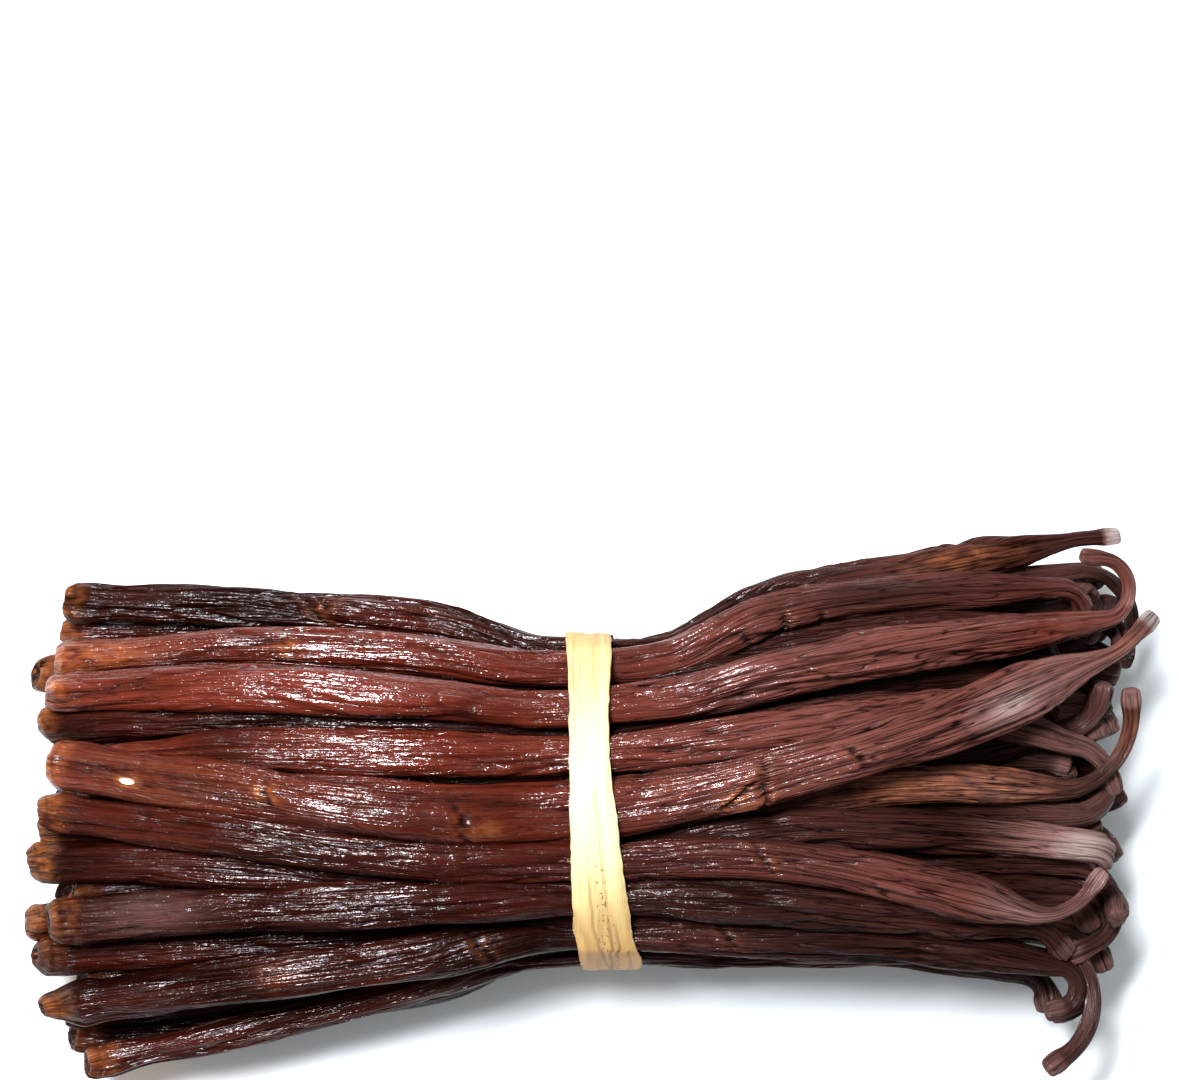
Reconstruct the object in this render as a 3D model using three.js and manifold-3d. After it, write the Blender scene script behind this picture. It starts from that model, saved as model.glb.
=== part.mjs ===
// A bundle of cured vanilla pods held at its waist by one turn of raffia.
// Millimetres, +Z up. The pods lie along X, blunt blossom ends at -X and hooked stalk ends at +X.
// Lengths along the bundle are measured from the tie. The whole part is then moved so that the
// middle of its base is the origin.
import * as THREE from "three";
import Module from "manifold-3d";

// ---- Driving sizes ----------------------------------------------------------------------------

const TIED_HALF_WIDTH = 26.8; // the waist is pulled into an oval this far each way in Y
const TIED_HALF_HEIGHT = 17.4;
const TIED_MIDDLE = 19.6; // height of the oval's middle above the table
const FLATNESS = 0.86; // a pod's thickness over its width
const PRESSED = 0.94; // how much of its width a pod keeps from its neighbours
const MIDDLE_OF_BASE = [-1.153, 1.503]; // the middle of the bundle's box, measured from the tie

// Where a pod's lane is given: every 27 mm from near the blunt ends to near the stalks.
const MARK_START = -84;
const MARK_STEP = 27;
const MARK_END = 78;
// Where the heap's section is worked out: every 6 mm.
const STATION_START = -90;
const STATION_STEP = 6;
const STATION_COUNT = 30;

// The heap's own middle height and half height at five places along it.
const HEAP_PLACES = [-90, -45, 0, 42, 78];
const HEAP_MIDDLE = [15.5, 20.3, 19.6, 19.3, 15.5];
const HEAP_HALF = [12.0, 19.8, 17.4, 19.0, 11.0];

// Every pod that shows, from the back of the bundle to its front.
// from, to: where the straight run starts and ends in X. width, stalk: belly and stalk width.
// height: of its middle at the tie. lane: its Y at each mark.
// hook: [turn in degrees, + towards +Y; radius; straight tip; roll of the bend in degrees].
// Where they differ from the usual: blunt, swell and taper as below, girth: thickness at each mark.
const SHOWN_PODS = [
  { name: "back_edge", from: -86, to: 77, width: 6.6, stalk: 2.8, height: 21,
    lane: [33.2, 31.6, 29.4, 26.6, 33, 37.4, 44], hook: [-8, 20, 5, 0], taper: 66 },
  { name: "back_bow", from: -84, to: 78, width: 5.4, stalk: 2.6, height: 19,
    lane: [25, 23.6, 22.8, 20.4, 25.6, 33.6, 38.8], hook: [-115, 8, 5, -10], taper: 62 },
  { name: "back_under", from: -87, to: 72, width: 5.6, stalk: 3.0, height: 15,
    lane: [29.4, 28.6, 25.8, 24.2, 25.6, 28.8, 31.8], hook: [-40, 8, 4, -40] },
  { name: "back_shoulder", from: -86.5, to: 74, width: 6.4, stalk: 3.2, height: 27,
    lane: [22.4, 23.2, 21.8, 20.4, 28.6, 32.8, 35], hook: [-60, 5, 3, -50], taper: 60 },
  { name: "back_filler", from: -90, to: 66, width: 6.2, stalk: 3.4, height: 24,
    lane: [20.8, 20.4, 18.6, 18.2, 23.6, 27.4, 29.5], hook: [-70, 7, 3, -30] },
  { name: "crown_back", from: -87, to: 81, width: 6.9, stalk: 2.3, height: 32,
    lane: [16.4, 15.8, 13.4, 12.8, 17.3, 22.8, 28.2], hook: [165, 5, 3, 15],
    taper: 62, girth: [0.95, 1.12, 1.05, 0.98, 1.12, 1.12, 1] },
  { name: "crown_under", from: -88, to: 66, width: 6.4, stalk: 3.4, height: 26,
    lane: [12, 11.6, 10.2, 9.6, 12.8, 14.8, 18.2], hook: [-60, 7, 3, -30] },
  { name: "crown_middle", from: -77, to: 60, width: 6.9, stalk: 3.4, height: 34,
    lane: [6.2, 5.6, 4.6, 4.4, 7.2, 12.2, 19], hook: [-50, 8, 3, -40], blunt: 0.7, swell: 16,
    girth: [0.5, 0.92, 1, 1, 1, 1, 1] },
  { name: "nook_high", from: -56, to: 76, width: 6.2, stalk: 3, height: 27,
    lane: [9, 8, 5.8, 5.6, 9.6, 13, 8], hook: [-50, 8, 3, -20], taper: 60 },
  { name: "crown_stout", from: -85, to: 80, width: 9.4, stalk: 2.8, height: 36,
    lane: [3.8, -1, -5, -4.6, 0.8, 8.6, 20.9], hook: [20, 16, 5.5, 10],
    taper: 66, girth: [0.84, 0.87, 1, 1.12, 0.92, 0.92, 0.86] },
  { name: "nook_low", from: -80, to: 72, width: 6.2, stalk: 3.4, height: 24,
    lane: [5.8, 3.6, 2.6, 1, 5.8, 7.2, 5.8], hook: [-10, 8, 1, 0], taper: 60 },
  { name: "tan_tail", from: -88, to: 72, width: 6.4, stalk: 2.6, height: 27,
    lane: [-6.2, -7.8, -8.2, -6.6, -1.6, 1.4, 1], hook: [100, 11.5, 3, 20], taper: 60 },
  { name: "crown_front", from: -87, to: 66, width: 6.6, stalk: 2.2, height: 33,
    lane: [-3.6, -8.2, -11.4, -12, -11.4, -15.9, -21.9], hook: [68, 9.5, 3, 10], taper: 56 },
  { name: "front_pale", from: -89, to: 76.5, width: 6.6, stalk: 5, height: 27,
    lane: [-10.6, -11.6, -13.6, -10.8, -6.2, -6.5, -7.9], hook: [-80, 3, 1, -80] },
  { name: "front_bow", from: -84, to: 75, width: 5.6, stalk: 2.8, height: 24,
    lane: [-14, -12.8, -11, -9, -9.4, -10, -10.4], hook: [-155, 6.6, 4, 0] },
  { name: "front_scar", from: -90, to: 74, width: 6.2, stalk: 3.2, height: 21,
    lane: [-18.6, -17, -15.4, -14.6, -15, -17, -20.4], hook: [-60, 6, 3, -30] },
  { name: "front_shoulder", from: -85, to: 66, width: 7.2, stalk: 3.2, height: 30,
    lane: [-19.8, -19, -18, -17, -17.4, -19.2, -22], hook: [-40, 8, 3, -40] },
  { name: "front_curl", from: -88, to: 66, width: 6.0, stalk: 2.9, height: 21,
    lane: [-24.4, -24, -21.8, -20, -20.6, -20.4, -20.2], hook: [-148, 10.8, 3, 0] },
  { name: "front_point", from: -86, to: 72, width: 7, stalk: 2.8, height: 25,
    lane: [-32.4, -29.2, -26, -22.6, -22.6, -23.2, -27.6], hook: [-160, 3.4, 1.5, -10],
    blunt: 0.55, swell: 6, girth: [1.16, 1.1, 1, 1, 1, 1, 1] },
  { name: "front_low", from: -83, to: 74, width: 5.6, stalk: 2.8, height: 12,
    lane: [-36.2, -33.6, -29.6, -25, -22.6, -22.2, -25.2], hook: [-165, 4, 1.5, 0] },
  { name: "front_edge", from: -80, to: 50, width: 5.2, stalk: 3.4, height: 15,
    lane: [-41.6, -35.8, -29.6, -24, -23.6, -22.8, -21.6], hook: [-30, 8, 2, -50] },
  // Short pods that only show between the stalks of the others.
  { name: "short_back", from: 2, to: 74, width: 6, stalk: 4, height: 18,
    lane: [25, 25, 25, 25, 26, 29, 32.5], hook: [35, 8, 3, -20] },
  { name: "short_lobe", from: 52, to: 75.5, width: 6.8, stalk: 5.6, height: 22,
    lane: [12, 12, 12, 12, 12, 13, 15.5], hook: [-75, 4.5, 1, -10], taper: 64 },
  { name: "short_edge", from: 52, to: 78, width: 5.8, stalk: 3.4, height: 16,
    lane: [-2, -2, -2, -2, -2, -1, 0], hook: [30, 8, 2, 10], taper: 62 },
  { name: "short_bent", from: 52, to: 73, width: 6.4, stalk: 4.6, height: 24,
    lane: [-13, -13, -13, -13, -14, -15.4, -15.2], hook: [-60, 5, 2, -30], taper: 64 },
  { name: "short_low", from: 2, to: 68, width: 5.8, stalk: 4, height: 9,
    lane: [-18, -18, -18, -18, -20, -22.6, -28], hook: [-70, 5, 1.5, 0] },
];

// The pods inside: rows of even spacing, each [height at the tie, count, spacing in Y].
const INNER_ROWS = [
  [4.6, 5, 6.2],
  [9.8, 7, 6.2],
  [15.0, 7, 6.2],
  [20.2, 6, 6.0],
  [25.4, 4, 5.9],
];
const INNER_FAN = 1.43; // how much wider apart the inner pods are at the ends than at the tie
const BLUNT_FAN_SPREAD = 0.2; // how much one pod's own fan may differ, at the blunt ends
const STALK_FAN_SPREAD = 0.3;
const INNER_STRAY = 5; // how far a pod's end may stray sideways in all
const INNER_DRIFT = [-4, -2.5, -1, 0, 3, 6, 8]; // of their middle, at each mark
const INNER_TAPER = 50;
// Least value and spread of an inner pod's sizes.
const INNER_FROM = [-87, 7];
const INNER_TO = [68, 12];
const INNER_WIDTH = [6.8, 1.5];
const INNER_BLUNT = 0.8;
const INNER_STALK = 3.4;
const INNER_TURN = [-130, 260];
const INNER_BEND = [3, 4];
const INNER_TIP = 3;
const INNER_ROLL = [-50, 100];

// How a pod's width changes along it.
const BLUNT_SHARE = 0.95; // the blunt end's width over the belly's
const BLUNT_SWELL = 30; // how far in from the blunt end it reaches its full width
const TAPER_START = 52; // from this X on it narrows into its stalk
const SLIM_SHARE = 0.5; // how far into its hook it has narrowed to its stalk
const WAIST_PINCH = 0.1; // how much the tie squeezes it
const WAIST_REACH = 11;
const KNOB_BACK = 1.2; // a stalk's swollen knob is thickest this far before its end
const KNOB_REACH = 1.6;
const KNOB_SWELL = 0.24;

// ---- The tie ----------------------------------------------------------------------------------

const TIE_GAP = 0.3; // clear of the pods
const TIE_THICKNESS = 0.6;
const TIE_FACETS = 44;
// Angles run from the back (+Y) over the top to the front and under: width and X there.
const TIE_ANGLES = [0, 45, 80, 105, 140, 165, 190, 270, 360];
const TIE_WIDTHS = [7.7, 7.3, 6.2, 6.9, 8.5, 9.1, 9.6, 8.6, 7.7];
const TIE_PLACES = [-2.4, -2.4, -2.2, -2.0, -1.2, -0.2, 1.2, 0.2, -2.4];
const KNOT_ANGLE = -30; // low on the back
const KNOT_SIZE = [7.0, 6.4, 3.2]; // along X, round the bundle, and out
const KNOT_SIDES = 8;
const TAIL_WIDTH = 4.0;
const TAIL_THICKNESS = 0.7;
const TAIL_PITCH = 3;
const TAIL_HEADINGS = [187, -14]; // degrees from +X, turning up the back
const TAIL_LENGTHS = [16, 11];
const TAIL_DROP = 6; // over this length a tail comes down from the band to the pods

// ---- Solids -----------------------------------------------------------------------------------

const SHOWN_SIDES = 6;
const INNER_SIDES = 5;
const DEEP_SIDES = 4;
const SECTION_PITCH = 22; // between a pod's sections, which straddle the tie evenly
const HOOK_PITCH = 46; // degrees between a hook's sections
const TIP_DEPTH = 1.2; // how far a blunt end is domed
const TIP_SHARE = 0.6; // and how wide its flat is
const CORE_SIDES = 12;
const CORE_STEPS = 10;
const CORE_INSET = 5.5; // how far the core stays inside the heap over its middle
const CORE_END_INSET = 9;
const CORE_ENDS = [-72, 56];
const BURIED = [-54, 42]; // between these places the deep pods are one with the core

// ---- Small helpers ----------------------------------------------------------------------------

const radians = (degrees) => (degrees * Math.PI) / 180;

/** Rises smoothly from 0 to 1 as t goes from 0 to 1. */
function ease(t) {
  const s = Math.min(Math.max(t, 0), 1);
  return s * s * (3 - 2 * s);
}

/** A fixed draw from 0 to 1, always the same for one pod and one use. */
function draw(pod, use) {
  const v = Math.sin(pod * 12.9898 + use * 78.233) * 43758.5453;
  return v - Math.floor(v);
}

/** The straight-line value at x between the given places. */
function between(places, values, x) {
  if (x <= places[0]) return values[0];
  for (let k = 1; k < places.length; k += 1) {
    if (x <= places[k]) {
      const t = (x - places[k - 1]) / (places[k] - places[k - 1]);
      return values[k - 1] + t * (values[k] - values[k - 1]);
    }
  }
  return values[values.length - 1];
}

/** A smooth curve through evenly spaced values, running on straight past both ends. */
function through(values, start, step, x) {
  const last = values.length - 1;
  const place = (x - start) / step;
  if (place < 0) return values[0] + place * (values[1] - values[0]);
  if (place > last) return values[last] + (place - last) * (values[last] - values[last - 1]);
  const k = Math.min(Math.floor(place), last - 1);
  const f = place - k;
  const b = values[k];
  const c = values[k + 1];
  const a = k > 0 ? values[k - 1] : 2 * b - c;
  const d = k + 2 <= last ? values[k + 2] : 2 * c - b;
  const cubic = 3 * (b - c) + d - a;
  const square = 2 * a - 5 * b + 4 * c - d;
  return b + 0.5 * f * (c - a + f * (square + f * cubic));
}

// ---- The pods and how they lie ----------------------------------------------------------------

const stations = Array.from({ length: STATION_COUNT }, (_, s) => STATION_START + s * STATION_STEP);

/** The pods inside the bundle, in rows that fan out from the tie. */
function innerPods() {
  const pods = [];
  for (const [height, count, spacing] of INNER_ROWS) {
    for (let k = 0; k < count; k += 1) {
      const id = pods.length + 1;
      const [a, b, c, d, e] = [1, 2, 3, 4, 5].map((use) => draw(id, use));
      const pick = ([least, spread], share) => least + spread * share;
      const atTie = (k - (count - 1) / 2) * spacing;
      const outermost = height < TIED_MIDDLE && (k === 0 || k === count - 1);
      const deep = height > INNER_ROWS[0][0] && !outermost;
      const lane = INNER_DRIFT.map((drift, m) => {
        const mark = MARK_START + m * MARK_STEP;
        const t = Math.abs(mark / MARK_START);
        const spread = mark < 0 ? BLUNT_FAN_SPREAD * (a - 0.5) : STALK_FAN_SPREAD * (b - 0.5);
        const stray = INNER_STRAY * ((mark < 0 ? c : d) - 0.5);
        return atTie * (1 + (INNER_FAN - 1 + spread) * ease(1.1 * t)) + stray * t + drift;
      });
      pods.push({
        name: `inner_${id}`,
        from: pick(INNER_FROM, a),
        to: pick(INNER_TO, b),
        width: pick(INNER_WIDTH, e),
        blunt: INNER_BLUNT,
        stalk: INNER_STALK,
        taper: INNER_TAPER,
        height,
        lane,
        hook: [pick(INNER_TURN, c), pick(INNER_BEND, d), INNER_TIP, pick(INNER_ROLL, e)],
        inner: true,
        deep,
      });
    }
  }
  return pods;
}

/** How long a pod's bend is. */
function bendLength(pod) {
  const [turn, radius] = pod.hook;
  return Math.abs(radians(turn)) * radius;
}

/** How long a pod is along its run: its X up to the bend, then the length of the hook. */
function runEnd(pod) {
  return pod.to + bendLength(pod) + pod.hook[2];
}

/** A pod's width at a place along its run. */
function widthAt(pod, run) {
  const { blunt = BLUNT_SHARE, swell = BLUNT_SWELL, taper: thick = TAPER_START, width, stalk } = pod;
  const end = runEnd(pod);
  const slim = pod.to + SLIM_SHARE * bendLength(pod);
  const place = Math.min(Math.max(run, MARK_START), MARK_END);
  const girth = pod.girth ? through(pod.girth, MARK_START, MARK_STEP, place) : 1;
  const rise = girth * (blunt + (1 - blunt) * ease((run - pod.from) / swell));
  const taper = 1 - (1 - stalk / width) * ease((run - thick) / (slim - thick));
  const waist = 1 - WAIST_PINCH * Math.exp(-((run / WAIST_REACH) ** 2));
  const knob = 1 + KNOB_SWELL * Math.exp(-(((run - end + KNOB_BACK) / KNOB_REACH) ** 2));
  return width * rise * taper * waist * knob;
}

/**
 * Lets the heap settle. Each pod starts on its lane. Pods that overlap push each other apart,
 * the tie pulls the waist into its oval, nothing sinks into the table, and each pod stays as
 * straight as it can. Shown pods hold their lanes; the others give way.
 */
function settle(pods) {
  const ROUNDS = 260;
  const [SHOWN_PULL, INNER_PULL] = [0.35, 0.02];
  const [HEIGHT_PULL, SAG] = [0.03, 0.01];
  const [PUSH, SHOWN_SHARE, STIFFNESS] = [0.32, 0.4, 0.35];
  const [TIE_FLAT, TIE_FADE] = [8, 14];
  const n = pods.length;
  const grid = () => pods.map(() => new Float64Array(STATION_COUNT));
  const lane = pods.map((p) => stations.map((x) => through(p.lane, MARK_START, MARK_STEP, x)));
  const rest = pods.map((p) => stations.map((x) => {
    const share = (p.height - TIED_MIDDLE) / TIED_HALF_HEIGHT;
    return between(HEAP_PLACES, HEAP_MIDDLE, x) + share * between(HEAP_PLACES, HEAP_HALF, x);
  }));
  const radius = pods.map((p) => stations.map((x) => 0.5 * PRESSED * widthAt(p, Math.min(x, p.to))));
  const there = pods.map((p) => stations.map((x) => x >= p.from - 3 && x <= p.to + 3));
  const y = pods.map((_, i) => Float64Array.from(lane[i]));
  const z = pods.map((_, i) => Float64Array.from(rest[i]));
  for (let round = 0; round < ROUNDS; round += 1) {
    for (let i = 0; i < n; i += 1) {
      const pull = pods[i].inner ? INNER_PULL : SHOWN_PULL;
      for (let s = 0; s < STATION_COUNT; s += 1) {
        y[i][s] += pull * (lane[i][s] - y[i][s]);
        z[i][s] += HEIGHT_PULL * (rest[i][s] - z[i][s]) - SAG;
      }
    }
    const pushY = grid();
    const pushZ = grid();
    for (let i = 0; i < n; i += 1) {
      for (let j = i + 1; j < n; j += 1) {
        for (let s = 0; s < STATION_COUNT; s += 1) {
          if (!there[i][s] || !there[j][s]) continue;
          const dy = y[i][s] - y[j][s];
          const dz = (z[i][s] - z[j][s]) / FLATNESS;
          const apart = Math.sqrt(dy * dy + dz * dz) + 1e-9;
          const over = radius[i][s] + radius[j][s] - apart;
          if (over <= 0) continue;
          pushY[i][s] += (over * dy) / apart;
          pushY[j][s] -= (over * dy) / apart;
          pushZ[i][s] += (over * dz) / apart;
          pushZ[j][s] -= (over * dz) / apart;
        }
      }
    }
    for (let i = 0; i < n; i += 1) {
      const share = pods[i].inner ? 1 : SHOWN_SHARE;
      for (let s = 0; s < STATION_COUNT; s += 1) {
        y[i][s] += PUSH * share * pushY[i][s];
        z[i][s] += PUSH * FLATNESS * pushZ[i][s];
        const r = radius[i][s];
        const outY = y[i][s] / (TIED_HALF_WIDTH - r);
        const outZ = (z[i][s] - TIED_MIDDLE) / (TIED_HALF_HEIGHT - r * FLATNESS);
        const out = Math.sqrt(outY * outY + outZ * outZ);
        const hold = 1 - ease((Math.abs(stations[s]) - TIE_FLAT) / TIE_FADE);
        const keep = out > 1 ? 1 + (1 / out - 1) * hold : 1;
        y[i][s] *= keep;
        z[i][s] = TIED_MIDDLE + (z[i][s] - TIED_MIDDLE) * keep;
        z[i][s] = Math.max(z[i][s], r * FLATNESS);
      }
      const oldY = y[i].map((v, s) => v - lane[i][s]);
      const oldZ = Float64Array.from(z[i]);
      for (let s = 1; s < STATION_COUNT - 1; s += 1) {
        y[i][s] += STIFFNESS * (0.5 * (oldY[s - 1] + oldY[s + 1]) - oldY[s]);
        z[i][s] += STIFFNESS * (0.5 * (oldZ[s - 1] + oldZ[s + 1]) - oldZ[s]);
      }
    }
  }
  pods.forEach((pod, i) => {
    pod.y = Array.from(y[i]);
    pod.z = Array.from(z[i]);
  });
}

/** The middle of a pod's straight run at x. */
function bodyPoint(pod, x) {
  return new THREE.Vector3(
    x,
    through(pod.y, STATION_START, STATION_STEP, x),
    through(pod.z, STATION_START, STATION_STEP, x),
  );
}

/** The direction of travel at x, and the two directions across it. */
function bodyFrame(pod, x) {
  const along = bodyPoint(pod, x + 0.5).sub(bodyPoint(pod, x - 0.5)).normalize();
  const across = new THREE.Vector3(0, 0, 1).cross(along).normalize();
  return { along, across, over: along.clone().cross(across) };
}

/**
 * A pod's sections from tip to tip: the middle, the two directions across it and its width.
 * The hook is a circular bend that leaves the straight run in line with it, then a short tip.
 */
function sections(pod) {
  const firstInside = Math.ceil((pod.from + 5) / SECTION_PITCH - 0.5);
  const lastInside = Math.floor((pod.to - 5) / SECTION_PITCH - 0.5);
  const inside = Array.from({ length: lastInside - firstInside + 1 }, (_, k) => firstInside + k);
  const runs = [pod.from, ...inside.map((k) => (k + 0.5) * SECTION_PITCH), pod.to];
  const list = runs.map((run) => (
    { middle: bodyPoint(pod, run), ...bodyFrame(pod, run), width: widthAt(pod, run) }
  ));
  const [turn, bend, tip, roll] = pod.hook;
  const start = bodyPoint(pod, pod.to);
  const { along, across, over } = bodyFrame(pod, pod.to);
  const inward = across.clone().multiplyScalar(Math.sign(turn) * Math.cos(radians(roll)));
  inward.addScaledVector(over, Math.sin(radians(roll)));
  const axis = along.clone().cross(inward);
  const whole = Math.abs(radians(turn));
  const steps = Math.max(1, Math.round(Math.abs(turn) / HOOK_PITCH));
  const end = runEnd(pod);
  for (let k = 1; k <= steps; k += 1) {
    const angle = (whole * k) / steps;
    const middle = start.clone().addScaledVector(along, bend * Math.sin(angle));
    middle.addScaledVector(inward, bend * (1 - Math.cos(angle)));
    const turned = (v) => v.clone().applyAxisAngle(axis, angle);
    const frame = { along: turned(along), across: turned(across), over: turned(over) };
    list.push({ middle, ...frame, width: widthAt(pod, pod.to + bend * angle) });
  }
  const last = list[list.length - 1];
  const middle = last.middle.clone().addScaledVector(last.along, tip);
  list.push({ ...last, middle, width: widthAt(pod, end) });
  return list;
}

// ---- Turning sections into closed solids ------------------------------------------------------

/** A closed body from rings of points, with a point closing each end. Faces look outward. */
function capped(rings, first, last) {
  const sides = rings[0].length;
  const points = [...rings.flat(), first, last];
  const faces = [];
  const at = (ring, side) => ring * sides + (side % sides);
  for (let j = 0; j < sides; j += 1) {
    for (let i = 0; i + 1 < rings.length; i += 1) {
      faces.push(at(i, j), at(i, j + 1), at(i + 1, j + 1));
      faces.push(at(i, j), at(i + 1, j + 1), at(i + 1, j));
    }
    faces.push(points.length - 2, at(0, j + 1), at(0, j));
    faces.push(points.length - 1, at(rings.length - 1, j), at(rings.length - 1, j + 1));
  }
  return geometry(points, faces);
}

/** A closed loop of rings: the last joins the first. Faces look outward. */
function looped(rings) {
  const sides = rings[0].length;
  const faces = [];
  const at = (ring, side) => (ring % rings.length) * sides + (side % sides);
  for (let i = 0; i < rings.length; i += 1) {
    for (let j = 0; j < sides; j += 1) {
      faces.push(at(i, j), at(i, j + 1), at(i + 1, j + 1));
      faces.push(at(i, j), at(i + 1, j + 1), at(i + 1, j));
    }
  }
  return geometry(rings.flat(), faces);
}

function geometry(points, faces) {
  const made = new THREE.BufferGeometry();
  const flat = points.flatMap((p) => [p.x, p.y, p.z]);
  made.setAttribute("position", new THREE.Float32BufferAttribute(flat, 3));
  made.setIndex(faces);
  return made;
}

/** The middle of a ring's points. */
function centreOf(points) {
  const sum = points.reduce((total, p) => total.add(p), new THREE.Vector3());
  return sum.multiplyScalar(1 / points.length);
}

/** One oval ring of a section, kept above the table. */
function ring({ middle, across, over }, halfWidth, halfHeight, sides) {
  return Array.from({ length: sides }, (_, j) => {
    const angle = (2 * Math.PI * j) / sides;
    const p = middle.clone().addScaledVector(across, halfWidth * Math.cos(angle));
    p.addScaledVector(over, halfHeight * Math.sin(angle));
    p.z = Math.max(p.z, 0);
    return p;
  });
}

/** One stretch of a pod: few-sided sections, closed at both ends. */
function stretch(list, sides) {
  const rings = list.map((s) => ring(s, s.width / 2, (s.width / 2) * FLATNESS, sides));
  return capped(rings, list[0].middle, list[list.length - 1].middle);
}

/**
 * One pod, with a domed blunt end. A deep pod is only its two ends: between them it is one with
 * the core.
 */
function podSolids(pod) {
  const list = sections(pod);
  if (pod.deep) {
    const blunt = list.filter((s) => s.middle.x < BURIED[0]);
    const stalk = list.filter((s) => s.middle.x > BURIED[1]);
    return [stretch(blunt, DEEP_SIDES), stretch(stalk, DEEP_SIDES)];
  }
  const tip = { ...list[0], width: list[0].width * TIP_SHARE };
  tip.middle = tip.middle.clone().addScaledVector(tip.along, -TIP_DEPTH);
  const hidden = pod.inner || pod.from > 0;
  return [stretch([tip, ...list], hidden ? INNER_SIDES : SHOWN_SIDES)];
}

/** The plain core that backs the pods, an oval that follows the heap. */
function coreSolid() {
  const rings = [];
  const [start, end] = CORE_ENDS;
  for (let k = 0; k <= CORE_STEPS; k += 1) {
    const x = start + ((end - start) * k) / CORE_STEPS;
    const reach = (side) => {
      const ys = shownAndInner.map((p) => side * through(p.y, STATION_START, STATION_STEP, x));
      return Math.max(...ys);
    };
    const [back, front] = [reach(1), reach(-1)];
    const middle = new THREE.Vector3(x, (back - front) / 2, between(HEAP_PLACES, HEAP_MIDDLE, x));
    const inset = between([start, BURIED[0], BURIED[1], end],
      [CORE_END_INSET, CORE_INSET, CORE_INSET, CORE_END_INSET], x);
    const halfHeight = between(HEAP_PLACES, HEAP_HALF, x) - inset;
    const frame = { middle, across: new THREE.Vector3(0, 1, 0), over: new THREE.Vector3(0, 0, 1) };
    rings.push(ring(frame, (back + front) / 2 - inset, halfHeight, CORE_SIDES));
  }
  return capped(rings, centreOf(rings[0]), centreOf(rings[CORE_STEPS]));
}

// ---- Joining ----------------------------------------------------------------------------------

const wasm = await Module();
wasm.setup();

function toSolid(source) {
  return new wasm.Manifold(new wasm.Mesh({
    numProp: 3,
    vertProperties: source.getAttribute("position").array,
    triVerts: Uint32Array.from(source.getIndex().array),
  }));
}

/**
 * All the bodies joined as one. Sealed hollows between them are filled and loose scraps are
 * dropped: of the joined surface's separate shells only the one with the most volume is kept.
 */
function joined(sources) {
  const whole = sources.map(toSolid).reduce((a, b) => a.add(b));
  const mesh = whole.getMesh();
  const spot = (v) => mesh.vertProperties.subarray(v * mesh.numProp, v * mesh.numProp + 3);
  const parent = Array.from({ length: mesh.vertProperties.length / mesh.numProp }, (_, v) => v);
  const root = (v) => {
    let r = v;
    while (parent[r] !== r) r = parent[r];
    parent[v] = r;
    return r;
  };
  const tris = mesh.triVerts;
  for (let t = 0; t < tris.length; t += 3) {
    parent[root(tris[t + 1])] = root(tris[t]);
    parent[root(tris[t + 2])] = root(tris[t]);
  }
  const volume = new Map();
  for (let t = 0; t < tris.length; t += 3) {
    const [a, b, c] = [0, 1, 2].map((k) => new THREE.Vector3(...spot(tris[t + k])));
    const shell = root(tris[t]);
    volume.set(shell, (volume.get(shell) ?? 0) + a.dot(b.cross(c)) / 6);
  }
  const largest = [...volume.entries()].reduce((a, b) => (b[1] > a[1] ? b : a))[0];
  const renumbered = new Map();
  const points = [];
  const faces = [];
  for (let t = 0; t < tris.length; t += 3) {
    if (root(tris[t]) !== largest) continue;
    for (let k = 0; k < 3; k += 1) {
      const v = tris[t + k];
      if (!renumbered.has(v)) {
        renumbered.set(v, points.length);
        points.push(new THREE.Vector3(...spot(v)));
      }
      faces.push(renumbered.get(v));
    }
  }
  return geometry(points, faces);
}

// ---- The tie's loop, knot and tails -----------------------------------------------------------

/** How far the pods' common outline reaches in one section, at an angle from +Y over +Z. */
function reachAt(x, angle) {
  const [cy, cz] = [Math.cos(angle), Math.sin(angle)];
  return Math.max(...shownAndInner.map((pod) => {
    const half = widthAt(pod, x) / 2;
    const p = bodyPoint(pod, x);
    return p.y * cy + (p.z - TIED_MIDDLE) * cz + Math.hypot(half * cy, half * FLATNESS * cz);
  }));
}

/** The same anywhere: pods run straight from section to section, so the reach does too. */
function girth(x, angle) {
  const place = x / SECTION_PITCH - 0.5;
  const before = Math.floor(place);
  const [low, high] = [before + 0.5, before + 1.5].map((k) => reachAt(k * SECTION_PITCH, angle));
  return low + (place - before) * (high - low);
}

/** A point on a loop drawn tight round the pods at x and held off them by a gap. */
function onLoop(x, degrees, gap) {
  const angle = radians(degrees);
  const small = radians(2);
  const reach = girth(x, angle);
  const slope = (girth(x, angle + small) - girth(x, angle - small)) / (2 * small);
  const out = reach + gap;
  return new THREE.Vector3(
    x,
    out * Math.cos(angle) - slope * Math.sin(angle),
    TIED_MIDDLE + out * Math.sin(angle) + slope * Math.cos(angle),
  );
}

/** The band: a flat strip round the waist, wider and further along X at the front. */
function bandSolid() {
  const rings = [];
  for (let k = 0; k < TIE_FACETS; k += 1) {
    const degrees = (360 * k) / TIE_FACETS;
    const half = between(TIE_ANGLES, TIE_WIDTHS, degrees) / 2;
    const place = between(TIE_ANGLES, TIE_PLACES, degrees);
    rings.push([
      onLoop(place - half, degrees, TIE_GAP),
      onLoop(place + half, degrees, TIE_GAP),
      onLoop(place + half, degrees, TIE_GAP + TIE_THICKNESS),
      onLoop(place - half, degrees, TIE_GAP + TIE_THICKNESS),
    ]);
  }
  return looped(rings);
}

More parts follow.
